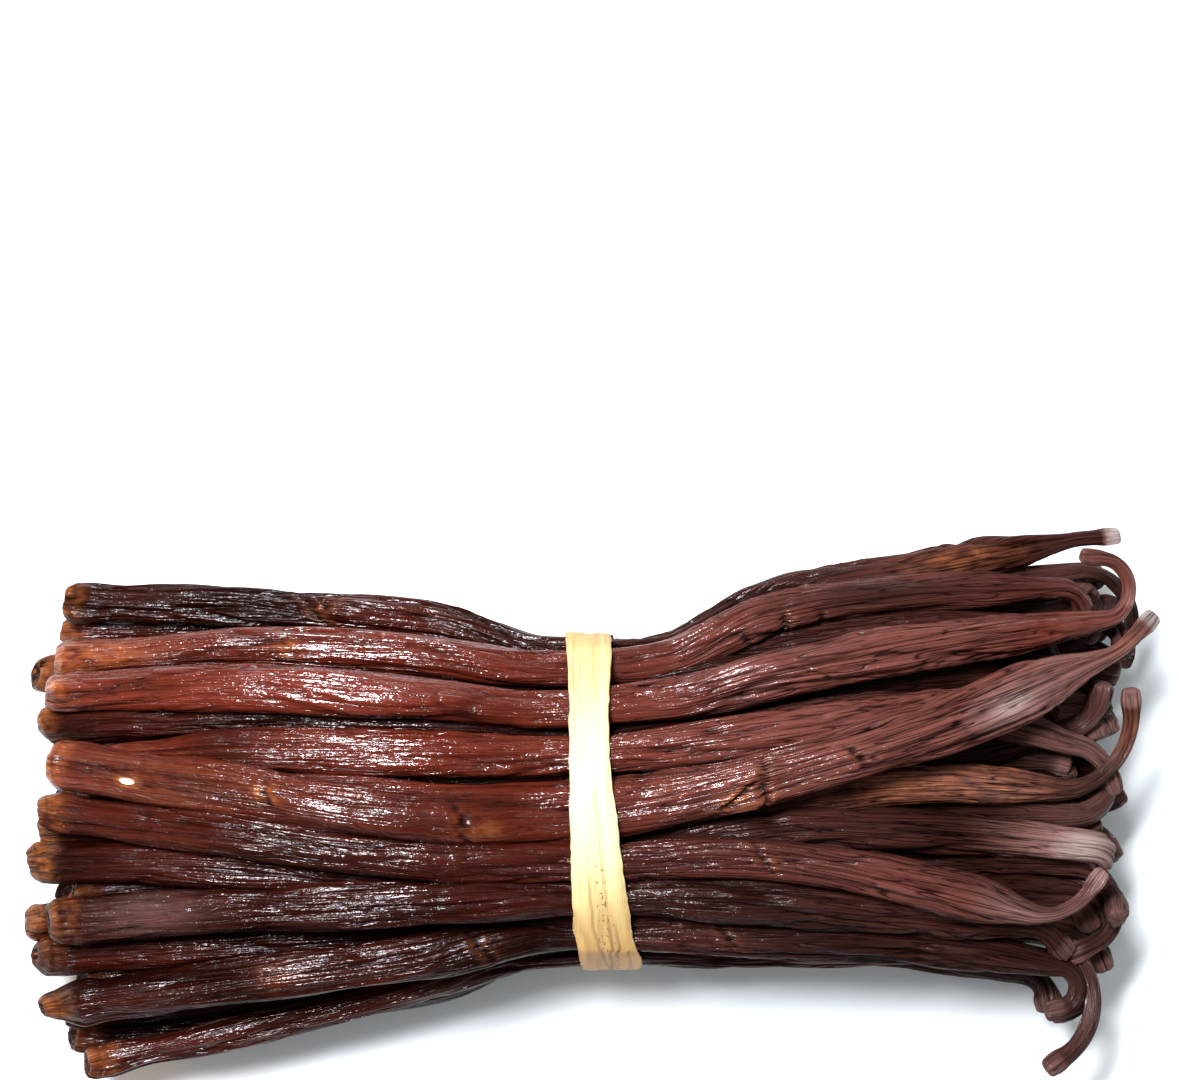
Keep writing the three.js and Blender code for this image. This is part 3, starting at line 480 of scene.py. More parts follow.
def shown_pods() -> list[Pod]:
    """Every pod that shows from above, from the back of the bundle to its front."""
    fine, plain = Fineness.CLOSE, Fineness.PLAIN
    return [
        Pod("back_edge", -86, 77, 6.6, 2.8, 21, (33.2, 31.6, 29.4, 26.6, 33, 37.4, 44),
            Hook(-8, 20, 5, 0), Piece.BACK, fine, Tone.COCOA, knob=1.0, wrinkled=1.25, taper=66,
            marks=(
                Crease(-46.5, 100, 55, 2.5, 0.55, 0.3),
                Crease(-44.5, 80, 30, -3, 0.35, 0.5),
                Swell(-41, 105, 4, 50, 0.45),
                Swell(-52, 95, 5, 60, -0.3, red=-0.2),
                Swell(-70, 90, 26, 180, red=-0.2),
                Swell(30, 90, 22, 180, red=-0.15),
                Crease(14, 95, 50, 3, 0.4, 0.3),
                Swell(58, 95, 9, 50, 0.1, tan=0.35),
            )),
        Pod("back_bow", -84, 78, 5.4, 2.6, 19, (25, 23.6, 22.8, 20.4, 25.6, 33.6, 38.8),
            Hook(-115, 8, 5, -10), Piece.BACK, plain, Tone.CHOCOLATE, wrinkled=1.3, taper=62),
        Pod("back_under", -87, 72, 5.6, 3.0, 15, (29.4, 28.6, 25.8, 24.2, 25.6, 28.8, 31.8),
            Hook(-40, 8, 4, -40), Piece.BACK, plain, Tone.COCOA),
        Pod("back_shoulder", -86.5, 74, 6.4, 3.2, 27, (22.4, 23.2, 21.8, 20.4, 28.6, 32.8, 35),
            Hook(-60, 5, 3, -50), Piece.BACK, fine, Tone.CHESTNUT, wrinkled=0.9, taper=60, marks=(
                Swell(-80, 90, 8, 60, tan=0.4),
                Swell(-50, 90, 26, 90, red=-0.05),
                # painted shade: its stalk half darkened where its neighbours shade it
                Swell(50, 90, 28, 90, red=-0.6),
                Crease(-49.5, 110, 25, 1, 0.3, 0.8),
                Swell(-51, 95, 2.5, 18, 0.1, tan=0.5),
                Swell(24.6, 142, 2.6, 26, 0.8),
                Swell(31.0, 138, 2.4, 24, 0.7),
                Crease(27.9, 140, 34, -1, 0.9, 0.35),
                Crease(21.2, 140, 26, 2, 0.5, 0.3),
                Crease(34.2, 138, 24, 2, 0.4, 0.1),
            )),
        Pod("back_filler", -90, 66, 6.2, 3.4, 24, (20.8, 20.4, 18.6, 18.2, 23.6, 27.4, 29.5),
            Hook(-70, 7, 3, -30), Piece.BACK, plain, Tone.CHOCOLATE, wrinkled=1.3),
        Pod("crown_back", -87, 81, 6.9, 2.3, 32, (16.4, 15.8, 13.4, 12.8, 17.3, 22.8, 28.2),
            Hook(165, 5, 3, 15), Piece.CROWN, fine, Tone.CHESTNUT, wrinkled=0.9, dry=0.5, taper=62,
            girth=(0.95, 1.12, 1.05, 0.98, 1.12, 1.12, 1), marks=(
                Crease(-25.5, 110, 40, 1.5, 0.25),
                Crease(33, 120, 35, 6, 0.35),
                Swell(70, 110, 12, 70, red=0.2),
            )),
        Pod("crown_under", -88, 66, 6.4, 3.4, 26, (12, 11.6, 10.2, 9.6, 12.8, 14.8, 18.2),
            Hook(-60, 7, 3, -30), Piece.CROWN, fine, Tone.CHOCOLATE, wrinkled=1.1),
        Pod("crown_middle", -77, 60, 6.9, 3.4, 34, (6.2, 5.6, 4.6, 4.4, 7.2, 12.2, 19),
            Hook(-50, 8, 3, -40), Piece.CROWN, fine, Tone.CHESTNUT, wrinkled=1.05, blunt=0.7,
            swell=16, girth=(0.5, 0.92, 1, 1, 1, 1, 1), marks=(
                # painted shade: its blunt start darkened so that it reads as a shaded gap between
                # its neighbours
                Swell(-60, 90, 9, 180, red=-0.5),
            )),
        Pod("nook_high", -56, 76, 6.2, 3, 27, (9, 8, 5.8, 5.6, 9.6, 13, 8),
            Hook(-50, 8, 3, -20), Piece.CROWN, plain, Tone.COCOA, dry=0.9, wrinkled=1.5, taper=60),
        Pod("crown_stout", -85, 80, 9.4, 2.8, 36, (3.8, -1, -5, -4.6, 0.8, 8.6, 20.9),
            Hook(20, 16, 5.5, 10), Piece.CROWN, fine, Tone.CHESTNUT, wrinkled=0.8, dry=0.95,
            knob=1.0, taper=66, girth=(0.84, 0.87, 1, 1.12, 0.92, 0.92, 0.86), marks=(
                Crease(-51.2, 98, 30, 0.8, 0.4, 0.9),
                Crease(-22.3, 122, 48, 1.5, 0.6, 0.15),
                Crease(-23.5, 120, 24, -5, 0.35, 0.15),
                Swell(-19, 128, 3, 20, 0.25, tan=0.25),
                Crease(24.6, 128, 60, -0.8, 1.0, 0.1),
                Crease(21.5, 118, 42, -6.5, 0.8, 1.0),
                Swell(21.0, 150, 4.5, 32, 0.85, tan=0.45),
                Crease(38.4, 105, 28, 1.2, 0.5, 0.2),
                Crease(40.5, 120, 18, -3, 0.3, 0.2),
                Crease(54, 110, 24, 2, 0.3, 0.1),
                Swell(-73.2, 112, 1.6, 9, 0.35, tan=2.6),
                Swell(-30, 120, 26, 70, red=-0.35),
                Swell(-66, 110, 20, 90, red=-0.15, tan=0.1),
                Swell(84, 90, 3.5, 180, tan=0.55),
                Swell(61, 112, 8, 50, dry=1.2),
            )),
        Pod("nook_low", -80, 72, 6.2, 3.4, 24, (5.8, 3.6, 2.6, 1, 5.8, 7.2, 5.8),
            Hook(-10, 8, 1, 0), Piece.CENTRE, plain, Tone.CHOCOLATE, dry=0.7, knob=0.6,
            wrinkled=1.5, taper=60),
        Pod("tan_tail", -88, 72, 6.4, 2.6, 27, (-6.2, -7.8, -8.2, -6.6, -1.6, 1.4, 1),
            Hook(100, 11.5, 3, 20), Piece.CENTRE, fine, Tone.CHOCOLATE, dry=0.35, knob=0.6,
            taper=60, marks=(
                Swell(54, 100, 15, 120, tan=0.5, dry=0.45, red=0.35),
                Swell(64, 105, 6, 40, tan=0.35, dry=0.35),
                Swell(88, 90, 5, 180, tan=0.2, red=0.3),
            )),
        Pod("crown_front", -87, 66, 6.6, 2.2, 33, (-3.6, -8.2, -11.4, -12, -11.4, -15.9, -21.9),
            Hook(68, 9.5, 3, 10), Piece.CENTRE, fine, Tone.COCOA, wrinkled=1.05, dry=0.6,
            knob=0.75, taper=56, marks=(
                Crease(24, 85, 40, 2, 0.55, 0.2),
                Crease(27, 105, 25, -4, 0.3, 0.2),
                Swell(46, 110, 16, 80, red=0.3),
                Swell(64, 100, 8, 60, dry=0.9),
            )),
        Pod("front_pale", -89, 76.5, 6.6, 5, 27, (-10.6, -11.6, -13.6, -10.8, -6.2, -6.5, -7.9),
            Hook(-80, 3, 1, -80), Piece.CENTRE, fine, Tone.CHOCOLATE, dry=1.1, marks=(
                Swell(74, 100, 10, 120, tan=0.3, dry=0.6),
            )),
        Pod("front_bow", -84, 75, 5.6, 2.8, 24, (-14, -12.8, -11, -9, -9.4, -10, -10.4),
            Hook(-155, 6.6, 4, 0), Piece.CENTRE, plain, Tone.CHOCOLATE, dry=0.3, wrinkled=1.2),
        Pod("front_scar", -90, 74, 6.2, 3.2, 21, (-18.6, -17, -15.4, -14.6, -15, -17, -20.4),
            Hook(-60, 6, 3, -30), Piece.FRONT, plain, Tone.CHOCOLATE),
        Pod("front_shoulder", -85, 66, 7.2, 3.2, 30, (-19.8, -19, -18, -17, -17.4, -19.2, -22),
            Hook(-40, 8, 3, -40), Piece.FRONT, fine, Tone.CHOCOLATE, wrinkled=1.2, marks=(
                Swell(-70, 95, 8, 60, dry=0.4),
            )),
        Pod("front_curl", -88, 66, 6.0, 2.9, 21, (-24.4, -24, -21.8, -20, -20.6, -20.4, -20.2),
            Hook(-148, 10.8, 3, 0), Piece.FRONT, fine, Tone.CHOCOLATE, wrinkled=1.1),
        Pod("front_point", -86, 72, 7, 2.8, 25, (-32.4, -29.2, -26, -22.6, -22.6, -23.2, -27.6),
            Hook(-160, 3.4, 1.5, -10), Piece.FRONT, fine, Tone.CHOCOLATE, blunt=0.55, swell=6,
            girth=(1.16, 1.1, 1, 1, 1, 1, 1), marks=(
                Crease(-19.3, 115, 55, 1.5, 0.5, 0.25),
                Swell(-15.5, 115, 4, 60, 0.35),
                Swell(-50, 95, 4, 40, 0.15, tan=0.12, red=0.2),
                Crease(18.9, 95, 50, 2, 0.5, 0.2),
            )),
        Pod("front_low", -83, 74, 5.6, 2.8, 12, (-36.2, -33.6, -29.6, -25, -22.6, -22.2, -25.2),
            Hook(-165, 4, 1.5, 0), Piece.FRONT, plain, Tone.CHOCOLATE, wrinkled=1.2),
        Pod("front_edge", -80, 50, 5.2, 3.4, 15, (-41.6, -35.8, -29.6, -24, -23.6, -22.8, -21.6),
            Hook(-30, 8, 2, -50), Piece.FRONT, plain, Tone.COCOA, wrinkled=1.3),
        # Short pods that only show between the stalks of the others.
        Pod("short_back", 2, 74, 6, 4, 18, (25, 25, 25, 25, 26, 29, 32.5),
            Hook(35, 8, 3, -20), Piece.BACK, plain, Tone.CHOCOLATE, wrinkled=1.2),
        Pod("short_lobe", 52, 75.5, 6.8, 5.6, 22, (12, 12, 12, 12, 12, 13, 15.5),
            Hook(-75, 4.5, 1, -10), Piece.CENTRE, plain, Tone.CHOCOLATE, dry=0.9, wrinkled=1.5,
            taper=64),
        Pod("short_edge", 52, 78, 5.8, 3.4, 16, (-2, -2, -2, -2, -2, -1, 0),
            Hook(30, 8, 2, 10), Piece.CENTRE, plain, Tone.CHOCOLATE, taper=62),
        Pod("short_bent", 52, 73, 6.4, 4.6, 24, (-13, -13, -13, -13, -14, -15.4, -15.2),
            Hook(-60, 5, 2, -30), Piece.CENTRE, plain, Tone.CHOCOLATE, wrinkled=1.3, taper=64),
        Pod("short_low", 2, 68, 5.8, 4, 9, (-18, -18, -18, -18, -20, -22.6, -28),
            Hook(-70, 5, 1.5, 0), Piece.FRONT, plain, Tone.CHOCOLATE, wrinkled=1.2),
    ]


def inner_pods() -> list[Pod]:
    """The pods inside the bundle, in rows that fan out from the tie, each with its own stray."""
    pods = []
    for height, count, spacing in INNER_ROWS:
        for k in range(count):
            a, b, c, d, e = (draw(len(pods) + 1, use) for use in range(1, 6))
            at_tie = (k - (count - 1) / 2) * spacing
            marks = MARK_START + MARK_STEP * np.arange(MARK_COUNT)
            t = np.abs(marks / MARK_START)
            left = marks < 0
            spread = np.where(left, BLUNT_FAN_SPREAD * (a - 0.5), STALK_FAN_SPREAD * (b - 0.5))
            stray = INNER_STRAY * (np.where(left, c, d) - 0.5)
            lane = at_tie * (1 + (INNER_FAN - 1 + spread) * ease(1.1 * t)) + stray * t
            lane += np.array(INNER_DRIFT)
            outermost = k in (0, count - 1) and height < TIED_MIDDLE
            low = height == INNER_ROWS[0][0] or outermost
            pods.append(Pod(
                f"inner_{len(pods) + 1}", pick(INNER_START, a), pick(INNER_TO, b),
                pick(INNER_WIDTH, e), INNER_STALK, height, tuple(lane),
                Hook(pick(INNER_TURN, c), pick(INNER_BEND, d), INNER_TIP, pick(INNER_ROLL, e)),
                Piece.LOW if low else Piece.INNER, Fineness.LOW if low else Fineness.DEEP,
                Tone.CHOCOLATE, pick(INNER_DRY, c), pick(INNER_KNOB, e), pick(INNER_WRINKLED, b),
                blunt=INNER_BLUNT, taper=INNER_TAPER, inner=True,
            ))
    return pods


# ---- How the heap lies --------------------------------------------------------------------------

@dataclass
class Heap:
    """The pods of the bundle, and how they lie once they have settled.

    Each pod starts on its lane. Pods that overlap push each other apart, the tie pulls the waist
    into its oval, nothing sinks into the table, and each pod stays as straight as it can.

    Attributes:
        rounds: how often they move.
        shown_pull: share of the way back to its lane that a shown pod goes each round.
        inner_pull: the same for an inner pod.
        height_pull: share of the way back to its height.
        sag: millimetres that each pod sinks each round.
        push: share of an overlap that is pushed apart.
        shown_share: how much of a sideways push a shown pod yields to.
        stiffness: share of the way to the straight line between its neighbouring stations.
        tie_flat: X to each side up to which the tie holds fully.
        tie_fade: how far on it holds less and less.
        overhang: how far past its ends a pod still pushes.
    """

    rounds: int = 260
    shown_pull: float = 0.35
    inner_pull: float = 0.02
    height_pull: float = 0.03
    sag: float = 0.01
    push: float = 0.32
    shown_share: float = 0.4
    stiffness: float = 0.35
    tie_flat: float = 8.0
    tie_fade: float = 14.0
    overhang: float = 3.0

    def settle(self, pods: Sequence[Pod]) -> tuple[np.ndarray, np.ndarray]:
        """Lets the pods push each other into place, round after round.

        Each round moves every pod a share of the way to its lane and height, then outwards by a
        share of its overlaps with the others, then into the tie's oval and above the table, and
        then a share of the way to the straight line between its neighbouring stations.

        Args:
            pods: all the pods.

        Returns:
            Their Y and their Z, each pods by stations.
        """
        x = STATION_START + STATION_STEP * np.arange(STATION_COUNT)
        lane = np.array([through(p.lane, MARK_START, MARK_STEP, x) for p in pods])
        share = np.array([(p.height - TIED_MIDDLE) / TIED_HALF_HEIGHT for p in pods])[:, None]
        rest = np.interp(x, HEAP_PLACES, HEAP_MIDDLE) + share * np.interp(x, HEAP_PLACES, HEAP_HALF)
        radius = np.array([0.5 * PRESSED * p.width_at(np.minimum(x, p.to)) for p in pods])
        there = np.array([(x >= p.start - self.overhang) & (x <= p.to + self.overhang)
                          for p in pods])
        inner = np.array([p.inner for p in pods])[:, None]
        pull = np.where(inner, self.inner_pull, self.shown_pull)
        yields = np.where(inner, 1.0, self.shown_share)
        hold = 1 - ease((np.abs(x) - self.tie_flat) / self.tie_fade)
        meet = there[:, None] & there[None] & ~np.eye(len(pods), dtype=bool)[:, :, None]
        need = radius[:, None] + radius[None]
        y, z = lane.copy(), rest.copy()
        for _ in range(self.rounds):
            y += pull * (lane - y)
            z += self.height_pull * (rest - z) - self.sag
            dy = y[:, None] - y[None]
            dz = (z[:, None] - z[None]) / FLATNESS
            apart = np.sqrt(dy * dy + dz * dz) + 1e-9
            force = np.where(meet, np.maximum(need - apart, 0), 0) / apart
            y += self.push * yields * (force * dy).sum(1)
            z += self.push * FLATNESS * (force * dz).sum(1)
            out_y = y / (TIED_HALF_WIDTH - radius)
            out_z = (z - TIED_MIDDLE) / (TIED_HALF_HEIGHT - radius * FLATNESS)
            out = np.sqrt(out_y ** 2 + out_z ** 2)
            keep = np.where(out > 1, 1 + (1 / np.maximum(out, 1e-9) - 1) * hold, 1)
            y *= keep
            z = TIED_MIDDLE + (z - TIED_MIDDLE) * keep
            z = np.maximum(z, radius * FLATNESS)
            for place, base in ((y, lane), (z, 0.0)):
                bend = place - base
                middle = 0.5 * (bend[:, :-2] + bend[:, 2:]) - bend[:, 1:-1]
                place[:, 1:-1] += self.stiffness * middle
        return y, z


@dataclass
class Course:
    """The line that one pod follows: its settled run along X, then its hook.

    Attributes:
        pod: whose line it is.
        y: its Y at the stations.
        z: its Z at the stations.
    """

    pod: Pod
    y: np.ndarray
    z: np.ndarray

    def on_run(self, x: np.ndarray) -> np.ndarray:
        """The middle of the run at x: x itself, and smooth curves through Y and Z."""
        stations = (STATION_START, STATION_STEP)
        return np.stack([x, through(self.y, *stations, x), through(self.z, *stations, x)], -1)

    def run_frame(self, x: np.ndarray) -> np.ndarray:
        """Directions on the run at x: along it, across it level with the table, and over it."""
        along = self.on_run(x + 0.5) - self.on_run(x - 0.5)
        along /= np.linalg.norm(along, axis=-1, keepdims=True)
        across = np.cross((0.0, 0.0, 1.0), along)
        across /= np.linalg.norm(across, axis=-1, keepdims=True)
        return np.stack([along, across, np.cross(along, across)], -2)

    def at(self, run: np.ndarray) -> tuple[np.ndarray, np.ndarray]:
        """Middle and directions anywhere on the pod.

        Up to the hook they are the run's. Past it the last ones are turned about one axis by the
        angle of arc covered, the middle going round a circle, and then straight on.

        Args:
            run: places along the pod.

        Returns:
            The middles, and for each its three directions.
        """
        pod, hook = self.pod, self.pod.hook
        x = np.minimum(run, pod.to)
        middle, frames = self.on_run(x), self.run_frame(x)
        along, across, over = self.run_frame(np.array([pod.to]))[0]
        roll = math.radians(hook.roll)
        inward = across * np.sign(hook.turn) * math.cos(roll) + over * math.sin(roll)
        axis = np.cross(along, inward)
        past = np.maximum(run - pod.to, 0)
        angle = (np.minimum(past, pod.arc) / hook.radius)[:, None]
        tip = np.maximum(past - pod.arc, 0)[:, None]
        turned = np.stack([
            v * np.cos(angle) + np.cross(axis, v) * np.sin(angle)
            + axis * (axis @ v) * (1 - np.cos(angle)) for v in (along, across, over)
        ], -2)
        bent = (self.on_run(np.array([pod.to])) + hook.radius * np.sin(angle) * along
                + hook.radius * (1 - np.cos(angle)) * inward + tip * turned[:, 0])
        beyond = (run > pod.to)[:, None]
        return np.where(beyond, bent, middle), np.where(beyond[..., None], turned, frames)


# ---- A pod's skin -------------------------------------------------------------------------------

@dataclass(frozen=True)
class Pattern:
    """One noise of the skin.

    Attributes:
        seed: what is added to the pod's own seed.
        turns: its lattice columns round the pod.
        length: millimetres of pod to a lattice row.
        line: how far from zero the noise is on the edge of a line.
        patch: what is added to the noise, and its gain, before it is eased into patches.
    """

    seed: int
    turns: int
    length: float
    line: float = 0.1
    patch: tuple[float, float] = (0.5, 1.0)

    def on(self, seed: int, turn: np.ndarray | float, run: np.ndarray) -> np.ndarray:
        """The noise on one pod, at places round it in turns and along it in millimetres."""
        return ring_noise(seed + self.seed, self.turns, turn, run / self.length)

    def lines(self, seed: int, turn: np.ndarray, run: np.ndarray) -> np.ndarray:
        """Lines from 0 to 1 where the noise crosses zero."""
        return bell(self.on(seed, turn, run), self.line)

    def patches(self, seed: int, turn: np.ndarray, run: np.ndarray) -> np.ndarray:
        """Patches from 0 to 1 where the noise is high."""
        return ease(pick(self.patch, self.on(seed, turn, run)))


WANDER = Pattern(0, 3, 20.0)
LUMPS = Pattern(1000, 3, 12.0)
FOLD_PATCHES = Pattern(2000, 4, 26.0, patch=(0.8, 1.1))
FOLDS = Pattern(3000, 6, 38.0)
RIDGES = Pattern(4000, 12, 20.0)
LINE_PATCHES = Pattern(5000, 5, 9.0)
LINES = Pattern(6000, 18, 11.0, line=0.24)
PUCKERS = Pattern(6500, 7, 2.6, line=0.22)
PUCKER_PATCHES = Pattern(6600, 4, 13.0, patch=(-0.1, 1.6))
WIDENING = Pattern(7000, 1, 26.0)
THICKENING = Pattern(7100, 1, 26.0)
TWO_LOBES = Pattern(7200, 1, 26.0)
THREE_LOBES = Pattern(7300, 1, 26.0)
KNOBBLES = Pattern(8100, 5, 2.4)
TONES = Pattern(9000, 3, 18.0)
GRIT_SEED, GRIT_TURNS, GRIT_ROWS = 8000, 15, 9

# What each of a pod's own draws is for. The first five place an inner pod.
(TWIST_DRAW, HEAD_DRAW, SCAR_DRAW, LEAN_DRAW,
 NOD_DRAW, TIP_DRAW, TAN_DRAW, MOUTH_DRAW) = range(11, 19)


@dataclass
class PodMaker:
    """Turns a pod and its course into a wrinkled closed surface.

    Attributes:
        lobe: how far the section strays from an oval, as a share of its half width.
        uneven: how far its width and its thickness drift, as shares.
        lump: height of slow swellings, in millimetres.
        fold: depth of the few long furrows.
        ridge: height of the rounded lengthwise ridges.
        ridge_foot: the share of that height that lies under the plain skin.
        wrinkle: depth of the fine lengthwise wrinkles.
        wrinkle_span: least share of that depth, and how much more patches of them have.
        pucker: depth of the short crosswise ones.
        pucker_slant: millimetres over which they turn once round the pod.
        wander: how far furrows stray round the pod, in turns.
        twist: how far the skin may be twisted over the twist length, in turns.
        twist_length: in millimetres.
        shrink: how much deeper all but the lumps get towards the stalk, as a share.
        shrink_from: X where that starts.
        shrink_over: how far on it is complete.
        slim: half width under which the relief gets fainter.
        cap_rings: rings that round off each end.
        dome: how far a blunt end stands out.
        scar: depth of the round scar in its middle.
        scar_span: least share of that depth, and how much more there may be.
        mouth: the scar's least size as a share of the end's, and how much more there may be.
        lean: how much further one side of the end may stand out, over its half width.
        nod: how far its top stands out at least, over its half thickness, and how much more.
        lean_reach: how far along the pod these two reach.
        knobble: height of its knobbles.
        knobble_reach: how far along the pod they reach.
        head: how much its head swells, as a share.
        head_span: least share of that swelling, and how much more there may be.
        tip_reach: how far its tan reaches at least, and how much further it may.
        tip_tan_and_rim_light: how tan it is at least, and how much more it may be, the tan partly a
            painted warm highlight on the rim.
        inner_tan: share of that tan that an inner pod has.
        cut: how far a stalk's knob stands out.
        knob_back: how far before the stalk's end its dry knob starts.
        knob_over: how far on it is dry.
        knob_dry: how dry a full knob is.
        neck_from: X where a stalk starts to dry.
        neck_over: how far on it is dry.
        lowest: how near the table the skin comes.
    """

    lobe: float = 0.05
    uneven: tuple[float, float] = (0.05, 0.07)
    lump: float = 0.28
    fold: float = 0.42
    ridge: float = 0.58
    ridge_foot: float = 0.6
    wrinkle: float = 0.36
    wrinkle_span: tuple[float, float] = (0.35, 0.65)
    pucker: float = 0.12
    pucker_slant: float = 30.0
    wander: float = 0.07
    twist: float = 0.4
    twist_length: float = 90.0
    shrink: float = 0.5
    shrink_from: float = 12.0
    shrink_over: float = 30.0
    slim: float = 3.2
    cap_rings: int = 13
    dome: float = 2.6
    scar: float = 0.7
    scar_span: tuple[float, float] = (0.4, 1.0)
    mouth: tuple[float, float] = (0.35, 0.3)
    lean: float = 0.7
    nod: tuple[float, float] = (-0.15, 1.1)
    lean_reach: float = 6.0
    knobble: float = 0.5
    knobble_reach: float = 8.0
    head: float = 0.1
    head_span: tuple[float, float] = (0.4, 1.2)
    tip_reach: tuple[float, float] = (2.5, 4.0)
    tip_tan_and_rim_light: tuple[float, float] = (0.1, 0.5)
    inner_tan: float = 0.3
    cut: float = 1.0
    knob_back: float = 2.6
    knob_over: float = 1.2
    knob_dry: float = 1.8
    neck_from: float = 48.0
    neck_over: float = 34.0
    lowest: float = 0.02

    def rings(self, pod: Pod) -> tuple[np.ndarray, np.ndarray, np.ndarray]:
        """Where the pod's rings are.

        Between the ends they are evenly spaced at full size. At each end their size falls off as a
        sine, and they stand out by depth times (1 - size to the power p) to the power 1/p, with p
        2.1 at the round blunt end and 2.6 at the stalk's knob.

        Args:
            pod: the pod.

        Returns:
            Each ring's place along the run, how far it stands out past that place, and its size.
        """
        count = int((pod.end - pod.start) / pod.fineness.value[1])
        middle = np.linspace(pod.start, pod.end, count)
        size = np.sin(np.linspace(0, math.pi / 2, self.cap_rings + 2)[1:-1])
        first = -self.dome * (1 - size ** 2.1) ** (1 / 2.1)
        last = self.cut * (1 - size[::-1] ** 2.6) ** (1 / 2.6)
        run = np.concatenate([np.full(len(size), pod.start), middle, np.full(len(size), pod.end)])
        out = np.concatenate([first, np.zeros(count), last])
        return run, out, np.concatenate([size, np.ones(count), size[::-1]])

    def section(self, pod: Pod, seed: int, run: np.ndarray,
                angle: np.ndarray) -> tuple[np.ndarray, np.ndarray, np.ndarray]:
        """The pod's uneven oval: its half width with two and three lobes, and its thickness.

        Args:
            pod: the pod.
            seed: its own seed.
            run: place along it.
            angle: place round it, in radians.

        Returns:
            The plain half width, and how far the oval reaches across and over.
        """
        half = pod.width_at(run[:, 0])[:, None] / 2
        away = run - pod.start
        head = bell(away - 2.5, 2.4) - 0.8 * bell(away - 8.5, 4)
        half = half * (1 + self.head * head * pick(self.head_span, draw(seed, HEAD_DRAW)))
        wide = 1 + self.uneven[0] * WIDENING.on(seed, 0.0, run)
        tall = 1 + self.uneven[1] * THICKENING.on(seed, 0.0, run)
        two = self.lobe * np.cos(2 * angle + 2.5 * TWO_LOBES.on(seed, 0.0, run))
        three = self.lobe * np.cos(3 * angle + 3.0 * THREE_LOBES.on(seed, 0.0, run))
        reach = half * (1 + (two + three) * np.minimum(1, half / 3))
        return half, reach * wide, reach * tall * FLATNESS

    def relief(self, pod: Pod, seed: int, turn: np.ndarray,
               run: np.ndarray) -> tuple[np.ndarray, np.ndarray]:
        """How far the skin stands out or in, in millimetres, and how much painted shade it gets in
        its furrows.

        Slow lumps, plus thin deep furrows and shallow ones on the zero lines of two noises, plus
        rounded ridges, which are the square root of a third noise's size. All are stretched
        lengthwise and wander round the pod with a slow noise. Patches of short crosswise puckers
        come on top. All but the lumps get deeper towards the stalk, where the skin shrinks most.

        Args:
            pod: the pod.
            seed: its own seed.
            turn: place round it, in turns.
            run: place along it.

        Returns:
            Two arrays of the places' common shape.
        """
        twist = self.twist * (draw(seed, TWIST_DRAW) - 0.5)
        place = turn + twist * run / self.twist_length + self.wander * WANDER.on(seed, turn, run)
        rough = pod.wrinkled * (1 + self.shrink * ease((run - self.shrink_from) / self.shrink_over))
        lumps = self.lump * LUMPS.on(seed, turn, run)
        folds = FOLD_PATCHES.patches(seed, turn, run) * FOLDS.lines(seed, place, run)
        ridges = np.sqrt(np.abs(RIDGES.on(seed, place, run)) + 0.01)
        more = pick(self.wrinkle_span, LINE_PATCHES.patches(seed, turn, run))
        lines = more * LINES.lines(seed, place, run)
        puckers = PUCKERS.lines(seed, turn + run / self.pucker_slant, run)
        puckers = puckers * PUCKER_PATCHES.patches(seed, turn, run)
        out = lumps + rough * (self.ridge * (ridges - self.ridge_foot) - self.fold * folds
                               - self.wrinkle * lines - self.pucker * puckers)
        # Painted shade: folds, fine lines, the valleys between ridges and puckers are painted dark.
        furrow = 0.4 * folds + 0.2 * lines + 0.9 * np.maximum(0.3 - ridges, 0) + 0.2 * puckers
        return out, np.clip(furrow, 0, 1)

    def marked(self, pod: Pod, turn: np.ndarray, run: np.ndarray) -> dict[str, np.ndarray]:
        """What the pod's own marks add: height, painted shade in a crease's furrow, tan, dry and
        red.

        A crease is a narrow bell across a slanting wavy line, with a raised lip each side. A swell
        is one bell along the pod times one round it.

        Args:
            pod: the pod.
            turn: place round it, in turns.
            run: place along it.

        Returns:
            The five sums by name.
        """
        shape = np.broadcast_shapes(turn.shape, run.shape)
        total = {key: np.zeros(shape) for key in ("height", "furrow", "tan", "dry", "red")}
        for mark in pod.marks:
            away = (turn * 360 - mark.facing + 180) % 360 - 180
            near = bell(away, mark.span)
            if isinstance(mark, Crease):
                wave = 0.35 * np.sin(away * 0.11 + mark.run) + 0.2 * np.sin(away * 0.27)
                off = run - mark.run - mark.slant * np.radians(away) - wave
                line, lips = bell(off, CREASE_HALF), bell(np.abs(off) - LIP_AWAY, LIP_HALF)
                total["height"] += near * mark.depth * (0.35 * lips - line)
                # Painted shade along the crease's furrow.
                total["furrow"] += near * line * min(1.0, 2 * mark.depth)
                total["tan"] += near * mark.glow * 0.6 * lips
            else:
                here = near * bell(run - mark.run, mark.reach)
                for key in ("height", "tan", "dry", "red"):
                    total[key] += getattr(mark, key) * here
        return total

    def scarred(self, seed: int, turn: np.ndarray,
                size: np.ndarray) -> tuple[np.ndarray, np.ndarray, np.ndarray]:
        """The scar in a blunt end: a gritty dent with a raised rim.

        Args:
            seed: the pod's own seed.
            turn: place round it, in turns.
            size: each ring's size, which falls to nothing in the middle of the end.

        Returns:
            How far it sinks in, how far inside the scar each point is, and its grit.
        """
        grit = ring_noise(seed + GRIT_SEED, GRIT_TURNS, turn, GRIT_ROWS * size)
        mouth = pick(self.mouth, draw(seed, MOUTH_DRAW))
        inside = 1 - ease((size - mouth + 0.15) / 0.3)
        sunk = self.scar * pick(self.scar_span, draw(seed, SCAR_DRAW)) * inside
        sunk = sunk - 0.3 * bell(size - mouth - 0.2, 0.16)
        return sunk + 0.22 * grit * ease(3 * size) * (0.4 + inside), inside, grit

